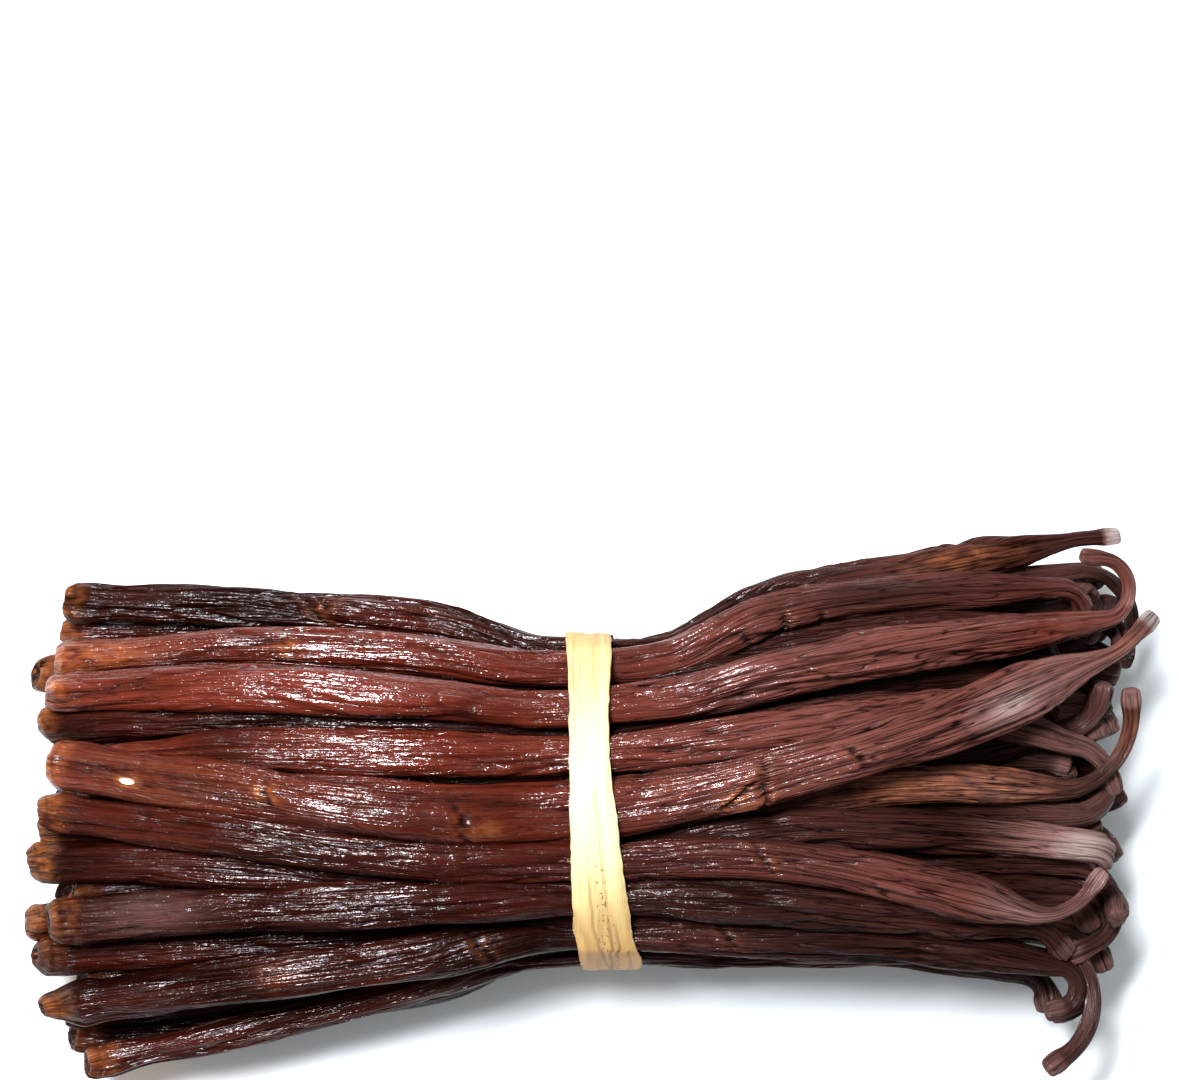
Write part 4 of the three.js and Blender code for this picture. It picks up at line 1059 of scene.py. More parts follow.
    def make(self, course: Course, seed: int) -> Surface:
        """Makes the pod's skin: an oval swept along its course, roughened and closed at its ends.

        A point lies at the ring's middle, plus its own cosine and sine of the half width and half
        thickness across and over, plus the relief along the oval's normal. The look is red from
        the pod's tone, tan at the blunt tip with a painted warm highlight on its upper rim, dry
        from the neck to the knob, and painted shade in the furrows, with the scar's own dark.

        Args:
            course: the line that the pod follows.
            seed: the pod's own seed.

        Returns:
            The closed surface.
        """
        pod = course.pod
        run, out, size = self.rings(pod)
        middle, frames = course.at(run)
        along, across, over = (frames[:, k][:, None] for k in range(3))
        run, out, size = run[:, None], out[:, None], size[:, None]
        sides = pod.fineness.value[0]
        turn = np.arange(sides)[None] / sides
        angle = 2 * math.pi * turn
        half, a, b = self.section(pod, seed, run, angle)
        place = run + out
        relief, furrow = self.relief(pod, seed, turn, place)
        marks = self.marked(pod, turn, place)
        relief = relief * np.clip(half / self.slim, 0.3, 1.0) * size + marks["height"]
        normal = across * (b * np.cos(angle))[..., None] + over * (a * np.sin(angle))[..., None]
        normal /= np.linalg.norm(normal, axis=-1, keepdims=True)

        face = (run == pod.start) & (size < 1)
        sunk, inside, grit = self.scarred(seed, turn, size)
        dent = np.where(face, sunk, 0.0)
        knobbly = 1 - ease((place - pod.start + self.dome) / self.knobble_reach)
        relief = relief + self.knobble * knobbly * KNOBBLES.on(seed, turn, place) * size
        lean = (1 - ease(np.maximum(run - pod.start, 0) / self.lean_reach)) * (
            (draw(seed, LEAN_DRAW) - 0.5) * self.lean * a * np.cos(angle)
            + pick(self.nod, draw(seed, NOD_DRAW)) * b * np.sin(angle))
        lean = lean * size
        spread = across * (a * size * np.cos(angle))[..., None]
        spread = spread + over * (b * size * np.sin(angle))[..., None]
        points = (middle[:, None] + along * (out + dent + lean)[..., None]
                  + spread + normal * relief[..., None])
        points[..., 2] = np.maximum(points[..., 2], self.lowest)

        # Painted warm highlight: the blunt tip's tan is strongest on its upper back rim, where the
        # lamps catch it, and on the end face only near its edge; an inner pod gets less.
        tip = 1 - ease((place - pod.start + 1) / pick(self.tip_reach, draw(seed, TIP_DRAW)))
        rim = np.where(face, bell(size - 0.8, 0.25), 1.0) * (0.5 + 0.5 * np.sin(angle + 0.6))
        drift = TONES.on(seed, turn, place)
        red = pod.tone.value + 0.1 * drift + marks["red"]
        tan = tip * rim * pick(self.tip_tan_and_rim_light, draw(seed, TAN_DRAW))
        tan = tan * (self.inner_tan if pod.inner else 1)
        scar = np.where(face, inside, 0.0)
        tan = tan + marks["tan"] + 0.9 * scar * np.maximum(grit, 0)
        neck = ease((place - self.neck_from) / self.neck_over)
        knob = ease((place - pod.end + self.knob_back) / self.knob_over)
        dry = np.maximum(pod.dry * neck * (0.8 + 0.3 * drift), self.knob_dry * pod.knob * knob)
        # Painted shade in the furrows and creases, plus the scar's own dark.
        deep = np.clip(furrow * size + marks["furrow"] + 0.6 * scar * (1 - grit), 0, 1)
        look = np.stack(np.broadcast_arrays(red, tan, dry + marks["dry"], deep), -1)
        belly = pod.width / 2
        grain = np.stack(np.broadcast_arrays(
            belly * np.cos(angle), belly * np.sin(angle), place + GRAIN_APART * seed), -1)
        return Surface(points, grain, look, (points[0].mean(0), points[-1].mean(0)))


# ---- Nodes --------------------------------------------------------------------------------------

def rgba(code: str) -> tuple[float, float, float, float]:
    """A hex code's linear colour with full alpha."""
    return (*linear(code), 1.0)


def add_node(tree: bpy.types.NodeTree, kind: str, inputs: dict | None = None,
             **settings: object) -> bpy.types.Node:
    """Adds one node to a tree.

    Args:
        tree: the material's or world's tree.
        kind: the node's type.
        inputs: for each socket's name or number, the output to link to it or its own value.
        settings: the node's properties.

    Returns:
        The node.
    """
    node = tree.nodes.new(kind)
    for key, value in settings.items():
        setattr(node, key, value)
    for key, value in (inputs or {}).items():
        if isinstance(value, Socket):
            tree.links.new(value, node.inputs[key])
        else:
            node.inputs[key].default_value = value
    return node


class Finish:
    """A new material, and short ways to add nodes to it.

    A Value is a node's output, a number or a colour.

    Attributes:
        material: the new material.
        tree: its node tree.
    """

    def __init__(self, name: str) -> None:
        """Makes the material with an empty tree."""
        self.material = bpy.data.materials.new(name)
        self.material.use_nodes = True
        self.tree = self.material.node_tree
        self.tree.nodes.clear()

    @cached_property
    def grain(self) -> Socket:
        """The surface's own coordinates for fine patterns."""
        return add_node(self.tree, "ShaderNodeAttribute", attribute_name="grain").outputs["Vector"]

    def look(self) -> tuple[Socket, Socket, Socket, Socket]:
        """The four shares of the look attribute."""
        look = add_node(self.tree, "ShaderNodeAttribute", attribute_name="look")
        share = add_node(self.tree, "ShaderNodeSeparateColor", {0: look.outputs["Color"]})
        return share.outputs[0], share.outputs[1], share.outputs[2], look.outputs["Alpha"]

    def noise(self, pitch: float, long: float, detail: float, bent: float = 0.0) -> Socket:
        """Noise of a real pitch across the grain, drawn out along it by long."""
        scale = (1 / pitch, 1 / pitch, 1 / (pitch * long))
        spot = add_node(self.tree, "ShaderNodeVectorMath", {0: self.grain, 1: scale},
                        operation="MULTIPLY")
        made = add_node(self.tree, "ShaderNodeTexNoise", {
            "Vector": spot.outputs[0], "Scale": 1.0, "Detail": detail, "Distortion": bent})
        return made.outputs["Fac"]

    def maths(self, kind: str, a: Value, b: Value = 0.0, c: Value = 0.0,
              clamp: bool = False) -> Socket:
        """One sum or product."""
        return add_node(self.tree, "ShaderNodeMath", {0: a, 1: b, 2: c}, operation=kind,
                        use_clamp=clamp).outputs[0]

    def ridged(self, field: Socket, width: float) -> Socket:
        """Rounded ridges with sharp valleys: how far the noise is from its middle, over width,
        held at 1."""
        off = self.maths("ABSOLUTE", self.maths("SUBTRACT", field, 0.5))
        return self.maths("DIVIDE", off, width, clamp=True)

    def ramp(self, value: Value, start: float, end: float, low: float = 0.0, high: float = 1.0,
             smooth: bool = False) -> Socket:
        """From low to high as the value goes from start to end."""
        kind = "SMOOTHSTEP" if smooth else "LINEAR"
        return add_node(self.tree, "ShaderNodeMapRange", {
            "Value": value, "From Min": start, "From Max": end, "To Min": low, "To Max": high},
            interpolation_type=kind).outputs[0]

    def blend(self, share: Value, a: Value, b: Value) -> Socket:
        """A mix of two colours."""
        return add_node(self.tree, "ShaderNodeMix", {"Factor": share, 6: a, 7: b},
                        data_type="RGBA").outputs[2]

    def bump(self, height: Socket, depth: float, under: Socket | None = None) -> Socket:
        """The normal bent by a height of so many millimetres, over another bump if given."""
        inputs = {"Height": height, "Distance": depth * MM, "Strength": 1.0}
        if under is not None:
            inputs["Normal"] = under
        return add_node(self.tree, "ShaderNodeBump", inputs).outputs[0]

    def shaded(self, inputs: dict[str, Value]) -> bpy.types.Material:
        """Ends the tree in one principled shader with these inputs, and gives the material."""
        shader = add_node(self.tree, "ShaderNodeBsdfPrincipled", inputs)
        add_node(self.tree, "ShaderNodeOutputMaterial", {"Surface": shader.outputs[0]})
        return self.material


@dataclass(frozen=True)
class CuredPodSkin:
    """Vanilla skin, sweated and dried: a waxy oily film over dark, finely wrinkled leather.

    The oil gives broken bluish-white glints along the ridges over a soft reddish sheen, and the
    furrows, cracks and hairlines are painted nearly black as painted shade. Past the tie the film
    thins out and the skin turns satin, with stronger fine cracks and hairlines and a greyish pink
    painted sheen in its colour. Dry stalks turn dull and greyish, blunt ends tan with a painted
    warm highlight on their upper rims.

    Attributes:
        dark: colour of the darkest pods.
        red: of the reddest.
        tan: of waxy patches, and of the painted warm highlight on blunt rims.
        pale: of a bare fleck.
        dry: of dried skin, and of the painted satin sheen.
        knob: of a bare stalk's end.
        furrow: of the painted shade in furrows, cracks, hairlines and fibres.
        wrinkle_mm: pitch of the wrinkles.
        hair_mm: of the hairlines.
        fibre_mm: of the fibres.
        crackle_mm: of the crackle.
        pore_mm: of the pores.
        patch_mm: of duller patches.
        streak_mm: of browner streaks.
        spot_mm: of waxy spots.
        bent: how crooked all patterns are.
        satin_mm: X between which the skin turns satin.
        stalk_mm: X between which the stalks lose part of that.
        satin_most: the most satin it gets.
        stalk_less: how much of it the stalks lose.
        oiled: roughness under the thickest oil.
        dull: roughness where it is driest.
        film: roughness of the oil itself.
        worn: how much oil is left where it is most worn.
        sheen: the skin's own specular level.
    """

    dark: str = "#1e0602"
    red: str = "#662b1d"
    tan: str = "#a9683a"
    pale: str = "#f4e6d0"
    dry: str = "#735650"
    knob: str = "#a39790"
    furrow: str = "#0a0202"
    wrinkle_mm: float = 1.0
    hair_mm: float = 0.5
    fibre_mm: float = 0.34
    crackle_mm: float = 0.9
    pore_mm: float = 0.3
    patch_mm: float = 7.0
    streak_mm: float = 2.6
    spot_mm: float = 1.6
    bent: float = 0.4
    satin_mm: tuple[float, float] = (-15.0, 40.0)
    stalk_mm: tuple[float, float] = (62.0, 76.0)
    satin_most: float = 0.6
    stalk_less: float = 0.5
    oiled: float = 0.42
    dull: float = 0.62
    film: float = 0.09
    worn: float = 0.06
    sheen: float = 0.09

    def material(self) -> bpy.types.Material:
        """Colour from the look attribute and streaks, with painted shade in the furrows and a
        painted sheen past the tie; gloss from oil, bumps from fine wrinkles.
        """
        finish = Finish("cured_pod_skin")
        maths, blend, ramp, ridged = finish.maths, finish.blend, finish.ramp, finish.ridged
        red, tan, dry, deep = finish.look()
        noises = [finish.noise(*sizes, self.bent) for sizes in (
            (self.wrinkle_mm, 17, 1.0), (self.hair_mm, 36, 0.0), (self.fibre_mm, 6, 1.0),
            (self.crackle_mm, 1.5, 1.0), (self.pore_mm, 1.6, 1.0), (self.patch_mm, 2.2, 2.0),
            (self.streak_mm, 9, 4.0), (self.spot_mm, 2.0, 3.0))]
        long_noise, hairs, fibres, crackle, pores, patches, streaks, spots = noises
        wrinkles, cracks = ridged(long_noise, 0.16), ridged(long_noise, 0.03)
        hairs, crackle = ridged(hairs, 0.03), ridged(crackle, 0.12)

        place = add_node(finish.tree, "ShaderNodeTexCoord").outputs["Object"]
        x = add_node(finish.tree, "ShaderNodeSeparateXYZ", {0: place}).outputs[0]
        aged, stalk = (ramp(x, start * MM, end * MM, 0.0, most, smooth=True)
                       for (start, end), most in ((self.satin_mm, self.satin_most),
                                                  (self.stalk_mm, self.stalk_less)))
        satin = maths("SUBTRACT", aged, stalk, clamp=True)

        def satined(plain: float, more: float) -> Socket:
            """A share that grows with the satin."""
            return maths("MULTIPLY_ADD", satin, more, plain)

        # Chocolate to mahogany in long streaks, then tan wax with the painted rim highlight, dry
        # grey with a painted greyish pink sheen past the tie, and painted shade in the furrows,
        # cracks, hairlines and fibres.
        tone = maths("MULTIPLY_ADD", maths("SUBTRACT", streaks, 0.5), 0.35, red, clamp=True)
        colour = blend(tone, rgba(self.dark), rgba(self.red))
        wax_and_rim_light = maths("MULTIPLY_ADD", maths("SUBTRACT", spots, 0.55), maths("MULTIPLY", tan, 3.0),
                    maths("MULTIPLY", tan, 0.7), clamp=True)
        colour = blend(wax_and_rim_light, colour, rgba(self.tan))
        dust = maths("MULTIPLY", dry, 0.75, clamp=True)
        # Painted sheen: past the tie the colour is lifted towards the greyish pink dry colour, more
        # on redder pods, standing in for a broad specular sheen.
        painted_sheen = maths("MULTIPLY", satin, maths("MULTIPLY_ADD", red, 0.62, 0.12))
        colour = blend(maths("MAXIMUM", dust, painted_sheen), colour, rgba(self.dry))
        colour = blend(ramp(dry, 1.3, 2.0), colour, rgba(self.knob))
        # Painted shade: cracks, hairlines, fibres and the look's furrows turn the colour nearly
        # black.
        depth = maths("MULTIPLY", maths("SUBTRACT", 1.0, cracks), satined(0.45, 0.6))
        depth = maths("MULTIPLY_ADD", maths("SUBTRACT", 1.0, hairs), satined(0.2, 0.9), depth)
        depth = maths("MULTIPLY_ADD", maths("SUBTRACT", 0.55, fibres), 0.55, depth)
        depth = maths("ADD", deep, depth, clamp=True)
        colour = blend(maths("MULTIPLY", depth, 0.92), colour, rgba(self.furrow))
        colour = blend(ramp(tan, 1.3, 1.8), colour, rgba(self.pale))

        # The oil lies thickest on the reddest pods, and is worn off where the skin is dry.
        gloss = maths("MULTIPLY_ADD", maths("SUBTRACT", patches, 0.5), 1.2, dust)
        gone = maths("ADD", maths("MULTIPLY_ADD", dust, 0.6, depth), satin)
        oil = maths("MULTIPLY", ramp(gone, 0.0, 1.0, 1.0, self.worn),
                    maths("MULTIPLY_ADD", red, 1.1, 0.32))

        height = maths("MULTIPLY", wrinkles, satined(0.13, 0.14))
        for pattern, share in ((cracks, satined(0.05, 0.12)), (hairs, satined(0.02, 0.16)),
                               (fibres, 0.14), (crackle, 0.025), (pores, 0.035)):
            height = maths("MULTIPLY_ADD", pattern, share, height)
        return finish.shaded({
            "Base Color": colour, "Roughness": ramp(gloss, 0.0, 1.0, self.oiled, self.dull),
            "IOR": 1.47, "Specular IOR Level": self.sheen, "Coat Weight": oil,
            "Coat Roughness": self.film, "Normal": finish.bump(height, 0.6),
            "Coat Normal": finish.bump(height, 1.0)})


@dataclass(frozen=True)
class DriedRaffia:
    """Raffia palm leaf, stripped and dried: pale straw with lengthwise fibres.

    It is bleached almost white where it is stretched over the top and golden where it turns under,
    the gold partly painted shade, with dark specks, painted shade in its folds and creases and a
    dull satin face.

    Attributes:
        straw: its own colour.
        bleached: colour of the bleached top.
        gold: of the folds and shaded parts.
        speck: of specks and bruises, and of the painted shade in folds and creases.
        fibre_mm: pitch of the fibres.
        fold_mm: of the folds.
        speck_mm: of the specks.
        cloud_mm: of the clouds that specks gather in.
    """

    straw: str = "#ad9460"
    bleached: str = "#c0b489"
    gold: str = "#9a6a33"
    speck: str = "#5a3517"
    fibre_mm: float = 0.22
    fold_mm: float = 1.1
    speck_mm: float = 0.42
    cloud_mm: float = 3.0

    def material(self) -> bpy.types.Material:
        """Straw to gold by the look attribute, fibres and folds drawn out along the strip."""
        finish = Finish("dried_raffia")
        maths, blend = finish.maths, finish.blend
        bleached, golden, spotted, dark = finish.look()
        fibres, folds, specks, clouds = (finish.noise(pitch, long, 3.0) for pitch, long in (
            (self.fibre_mm, 40), (self.fold_mm, 22), (self.speck_mm, 1.6), (self.cloud_mm, 3)))
        colour = blend(bleached, rgba(self.straw), rgba(self.bleached))
        # Painted shade: the folds and the shaded underside turn towards the gold, with the fibres'
        # own warm streaks.
        warm = maths("ADD", golden, maths("MULTIPLY_ADD", folds, 0.9, -0.45))
        warm = maths("MULTIPLY_ADD", fibres, 0.8, warm)
        colour = blend(maths("SUBTRACT", warm, 0.4, clamp=True), colour, rgba(self.gold))
        dots = maths("MULTIPLY_ADD", clouds, 0.25, specks)
        dots = finish.ramp(maths("MULTIPLY_ADD", spotted, 0.17, dots), 0.86, 0.89)
        # Specks and bruises, and the painted shade in folds and creases, darken towards the speck
        # colour.
        dark = maths("MULTIPLY", maths("MAXIMUM", dots, dark), 0.8, clamp=True)
        bump = finish.bump(folds, 0.2, under=finish.bump(fibres, 0.06))
        return finish.shaded({"Base Color": blend(dark, colour, rgba(self.speck)),
                              "Roughness": 0.55, "IOR": 1.45, "Normal": bump})


@dataclass(frozen=True)
class PaleBoard:
    """A plain matt painted board: an even off-white that takes a soft shadow."""

    paint: str = "#c6c8c8"
    roughness: float = 0.9

    def material(self) -> bpy.types.Material:
        """One plain matt colour."""
        return Finish("matt_white_board").shaded(
            {"Base Color": rgba(self.paint), "Roughness": self.roughness})


# ---- The pods -----------------------------------------------------------------------------------

FINEST_TURNS = 17  # waves round the bundle that a taut loop still follows


@dataclass
class PodBundle:
    """All the pods, and the plain core behind them.

    Attributes:
        heap: how they settle.
        maker: how their skin is made.
        core_inset: how far the core stays inside the heap.
        core_ends: X of the core's ends.
        core_grid: its rings and its sides.
        core_ribs: pairs of ribs round it, and their height as a share.
        core_look: its look: dark, and 0.6 of the way to the furrow colour as painted shade inside
            the heap.
        skins: the pods' surfaces, once they are built.
    """

    heap: Heap
    maker: PodMaker
    core_inset: float = 9.0
    core_ends: tuple[float, float] = (-60.0, 46.0)
    core_grid: tuple[int, int] = (60, 96)
    core_ribs: tuple[int, float] = (9, 0.035)
    core_look: tuple[float, ...] = (0.1, 0.0, 0.0, 0.6)
    skins: list[Surface] = field(default_factory=list)

    def build(self) -> list[bpy.types.Object]:
        """Settles the pods and joins their skins piece by piece.

        Returns:
            One object for each piece.
        """
        pods = shown_pods() + inner_pods()
        y, z = self.heap.settle(pods)
        self.skins = [self.maker.make(Course(pod, y[k], z[k]), k + 1)
                      for k, pod in enumerate(pods)]
        made = []
        for piece in Piece:
            members = [skin for skin, pod in zip(self.skins, pods) if pod.piece is piece]
            made.append(surfaces_to_object(piece.value, members))
        made.append(surfaces_to_object("heap_core", [self.core(y)]))
        return made

    def core(self, y: np.ndarray) -> Surface:
        """The core: a ribbed oval that follows the heap a little inside it.

        Its section is half the heap's spread in Y and Z less the inset, times the cosine and sine
        of the angle, with shallow ribs of a pod's width.

        Args:
            y: the pods' Y at the stations.

        Returns:
            The closed surface.
        """
        rings, sides = self.core_grid
        x = np.linspace(*self.core_ends, rings)
        angle = 2 * math.pi * np.arange(sides)[None] / sides
        rows = np.array([through(row, STATION_START, STATION_STEP, x) for row in y])
        high, low = rows.max(0), rows.min(0)
        half = (high - low) / 2 - self.core_inset
        tall = np.interp(x, HEAP_PLACES, HEAP_HALF) - self.core_inset
        ends = np.sqrt(np.clip(1 - np.linspace(-1, 1, rings) ** 16, 0.02, 1))
        pairs, rise = self.core_ribs
        ribs = 1 + rise * np.abs(np.sin(pairs * angle))
        across = ((high + low) / 2)[:, None] + (half * ends)[:, None] * ribs * np.cos(angle)
        above = (np.interp(x, HEAP_PLACES, HEAP_MIDDLE)[:, None]
                 + (tall * ends)[:, None] * ribs * np.sin(angle))
        points = np.stack(np.broadcast_arrays(x[:, None], across, above), -1)
        # Painted shade: the core is darkened most of the way to the furrow colour, as the inside of
        # the heap lies in shade.
        look = np.broadcast_to(self.core_look, (*points.shape[:2], 4))
        poles = (points[0].mean(0), points[-1].mean(0))
        return Surface(points, points[..., (1, 2, 0)], look, poles)

    def outline(self, x: float, window: float, angles: np.ndarray) -> np.ndarray:
        """How far the pods reach at x in each direction across, from the tie's middle.

        It is the largest Y times cosine plus Z times sine over the skin's points near x, smoothed
        round the loop.

        Args:
            x: place along the bundle.
            window: how near a point has to be.
            angles: directions, in radians from +Y over the top.

        Returns:
            The reach in each direction.
        """
        points = np.concatenate([s.points.reshape(-1, 3) for s in self.skins])
        near = points[np.abs(points[:, 0] - x) < window]
        sideways, upwards = near[:, 1:2], near[:, 2:] - TIED_MIDDLE
        reach = (sideways * np.cos(angles) + upwards * np.sin(angles)).max(0)
        turns = np.abs(np.fft.fftfreq(len(reach), 1 / len(reach)))
        return np.real(np.fft.ifft(np.fft.fft(reach) * bell(turns, FINEST_TURNS)))


# ---- The tie ------------------------------------------------------------------------------------

PER_DEGREE = 2  # places to a degree at which the loop is worked out
LOOP_PLACES = 360 * PER_DEGREE


@dataclass
class RaffiaTie:
    """One turn of flat raffia round the waist, a flat knot low on the back and two short tails.

    Attributes:
        angles: where the strip's edges are given, in degrees from the back over the top.
        left: X of its edge on the blunt side at each angle.
        right: X of its edge on the stalk side.
        gap: how far its inner face clears the pods.
        thickness: of the folded leaf.
        steps: rings round the loop.
        threads: points across its outer face.
        creases: fine lines in the strip, each where it starts and ends across the width, from 0
            to 1, and its first and last angle.
        crease_half: half width of such a line, as a share of the strip's width.
        wave: how far the band's edges wave, coarsely and finely.
        ease_over: how far along the strip its edges are averaged.
        bleached: angle where it is palest, and how far that reaches.
        golden: angle where it starts to turn golden, and how far on it is.
        spotted: the same for its specks.
        bruise: strength, angle and reach of the bruise, its place across and its half width.
        knot_x: X of the knot's middle.
        knot_angle: where the knot lies round the pods.
        knot_half: its half length, half height and half depth.
        knot_grid: its rings and its sides.
        tail_rings: rings along a tail.
        tail_width: its width.
        tail_headings: degrees from +X in which the tails leave, turning up the back.
        tail_lengths: how long they are.
        stops: X of the places where the pods' reach is read.
        windows: how far round each of them.
    """

    angles: tuple[float, ...] = (0, 45, 80, 92, 105, 120, 140, 165, 190, 270, 360)
    left: tuple[float, ...] = (-6.2, -5.9, -5.3, -5.3, -5.2, -4.9, -4.4, -3.5, -3.4, -4.1, -6.2)
    right: tuple[float, ...] = (1.4, 1.4, 0.8, 1.3, 2.6, 3.8, 4.9, 5.9, 6.2, 4.5, 1.4)
    gap: float = 0.25
    thickness: float = 0.5
    steps: int = 480
    threads: int = 44
    creases: tuple[tuple[float, float, float, float], ...] = (
        (0.33, 0.44, 104, 192), (0.58, 0.62, 88, 128), (0.62, 0.5, 122, 186),
        (0.74, 0.63, 126, 172), (0.12, 0.16, 48, 84), (0.3, 0.24, 52, 78), (0.86, 0.8, 140, 190))
    crease_half: float = 0.022
    wave: tuple[float, float] = (0.14, 0.1)
    ease_over: float = 4.0
    bleached: tuple[float, float] = (92.0, 30.0)
    golden: tuple[float, float] = (110.0, 55.0)
    spotted: tuple[float, float] = (90.0, 40.0)
    bruise: tuple[float, ...] = (0.4, 152.0, 12.0, 0.68, 0.06)
    knot_x: float = -2.4
    knot_angle: float = -30.0
    knot_half: tuple[float, float, float] = (3.5, 3.2, 1.5)
    knot_grid: tuple[int, int] = (40, 48)
    tail_rings: int = 70
    tail_width: float = 4.0
    tail_headings: tuple[float, float] = (187.0, -14.0)
    tail_lengths: tuple[float, float] = (16.0, 11.0)
    stops: tuple[float, ...] = (-19.0, -9.0, -4.0, 0.0, 4.0, 9.0)
    windows: tuple[float, ...] = (3.0, 3.0, 2.5, 2.5, 2.5, 3.0)

    def fit(self, bundle: PodBundle) -> None:
        """Reads how far the pods reach under the band and its tails, and its slope round them, and
        measures the way along the loop."""
        self.places = np.array(self.stops)
        angles = np.radians(np.arange(LOOP_PLACES) / PER_DEGREE)
        self.reach = np.array([bundle.outline(x, window, angles)
                               for x, window in zip(self.stops, self.windows)])
        closed = np.concatenate([self.reach[:, -1:], self.reach, self.reach[:, :1]], 1)
        self.slope = np.gradient(closed, axis=1)[:, 1:-1] / angles[1]
        self.degrees = np.arange(LOOP_PLACES + 1) / PER_DEGREE
        nothing = np.zeros(LOOP_PLACES + 1)
        steps = np.diff(self.on_loop(nothing, self.degrees, nothing), axis=0)
        self.so_far = np.concatenate([[0.0], np.cumsum(np.linalg.norm(steps, axis=-1))])

    def on_loop(self, x: np.ndarray, degrees: np.ndarray, out: np.ndarray) -> np.ndarray:
        """A point of a taut loop round the pods.

        With reach r and its slope s at an angle, the loop passes through r times the outward
        direction plus s times the direction a quarter turn on.

        Args:
            x: place along the bundle.
            degrees: direction from the back over the top.
            out: how far off the pods.

        Returns:
            The points.
        """
        x, degrees, out = np.broadcast_arrays(x, degrees, out)
        turn = (degrees % 360) * PER_DEGREE
        k = np.floor(turn).astype(int)
        f = turn - k
        k, k2 = k % LOOP_PLACES, (k + 1) % LOOP_PLACES
        i = np.clip(np.searchsorted(self.places, x) - 1, 0, len(self.places) - 2)
        g = np.clip((x - self.places[i]) / (self.places[i + 1] - self.places[i]), 0, 1)
        values = []
        for table in (self.reach, self.slope):
            low = table[i, k] * (1 - f) + table[i, k2] * f
            high = table[i + 1, k] * (1 - f) + table[i + 1, k2] * f
            values.append(low * (1 - g) + high * g)
        reach, slope = values[0] + out, values[1]
        angle = np.radians(degrees)
        return np.stack([x, reach * np.cos(angle) - slope * np.sin(angle),
                         TIED_MIDDLE + reach * np.sin(angle) + slope * np.cos(angle)], -1)

    def section(self) -> tuple[np.ndarray, np.ndarray]:
        """A strip's section as places across from -1 to 1 and heights from 0 to 1: its inner face
        one way and its outer face back, thinned to rounded edges."""
        outer = np.linspace(1, -1, self.threads)
        inner = np.linspace(-1, 1, self.threads // 3)[1:-1]
        tall = 0.35 + 0.65 * (1 - np.abs(outer) ** 8)
        return np.concatenate([inner, outer]), np.concatenate([np.zeros(len(inner)), tall])

    def eased(self, edge: np.ndarray) -> np.ndarray:
        """An edge's X round the loop, averaged with a bell over a few millimetres each way."""
        away = np.arange(self.steps) / self.steps
        away = np.minimum(away, 1 - away) * self.so_far[-1]
        weight = bell(away, self.ease_over)
        spread = np.fft.fft(edge[:, 0]) * np.fft.fft(weight / weight.sum())
        return np.real(np.fft.ifft(spread))[:, None]

    def creased(self, share: np.ndarray, degrees: np.ndarray) -> np.ndarray:
        """How deep the band's fine creases are: for each, a narrow bell across a line that runs
        from one place across the width to another, fading in and out at its first and last
        angle."""
        depth = 0 * share * degrees
        for start, end, first, last in self.creases:
            along = (degrees - first) / (last - first)
            line = start + (end - start) * ease(along)
            fade = ease(along * 6) * ease((1 - along) * 6)
            depth = np.maximum(depth, bell(share - line, self.crease_half) * fade)
        return depth

    def band(self) -> Surface:
        """The band: the strip laid round the loop, with folds, creases and fibres in its outer
        face."""
        across, tall = self.section()
        turn = (np.arange(self.steps) / self.steps)[:, None]
        run = turn * self.so_far[-1]
        degrees = np.interp(run, self.so_far, self.degrees)
        coarse, fine = self.wave
        edge, other = (
            coarse * ring_noise(seed, 60, turn, 0.5) + fine * ring_noise(seed + 1, 140, turn, 0.5)
            for seed in (51, 53))
        left = self.eased(np.interp(degrees, self.angles, self.left)) + edge
        right = self.eased(np.interp(degrees, self.angles, self.right)) + other
        share = (across + 1) / 2
        x = left + share * (right - left)
        width = right - left
        lane = share * 4 + 0.25 * ring_noise(55, 5, turn, share)
        folds = bell(ring_noise(56, 9, turn, lane), 0.14)
        crimps = ring_noise(57, 14, turn, share * 9)
        fibres = ring_noise(58, 24, turn, share * width / 0.35)
        creases = self.creased(share, degrees)
        raised = (0.16 * crimps + 0.05 * fibres - 0.3 * folds - 0.5 * creases) * (tall > 0.4)
        out = self.gap + self.thickness * tall + raised * self.thickness
        points = self.on_loop(x, degrees + 0 * x, out)
        (palest, pale_reach), (gold_from, gold_over) = self.bleached, self.golden
        bleached = bell(degrees - palest, pale_reach) + 0.25 * bell(degrees - 60, 25)
        # Gold towards the underside, partly painted shade where the strip turns under.
        gold = 0.12 + 0.5 * ease((degrees - gold_from) / gold_over) + 0.15 * bell(degrees - 25, 20)
        specks_from, specks_over = self.spotted
        spotted = ease((degrees - specks_from) / specks_over) * bell(share - 0.55, 0.22)
        strength, angle, reach, place, half = self.bruise
        bruise = strength * bell(degrees - angle, reach) * bell(share - place, half)
        # Painted shade in the folds and creases, plus the real bruise.
        dark = (0.35 * folds * ease((degrees - 60) / 60) + 0.4 * creases) * (tall > 0.4) + bruise
        look = np.stack(np.broadcast_arrays(bleached + 0 * x, gold + 0 * x, spotted, dark), -1)
        grain = np.stack(np.broadcast_arrays(x, 3 * tall + 0 * x, run + 0 * x), -1)
        return Surface(points, grain, look)

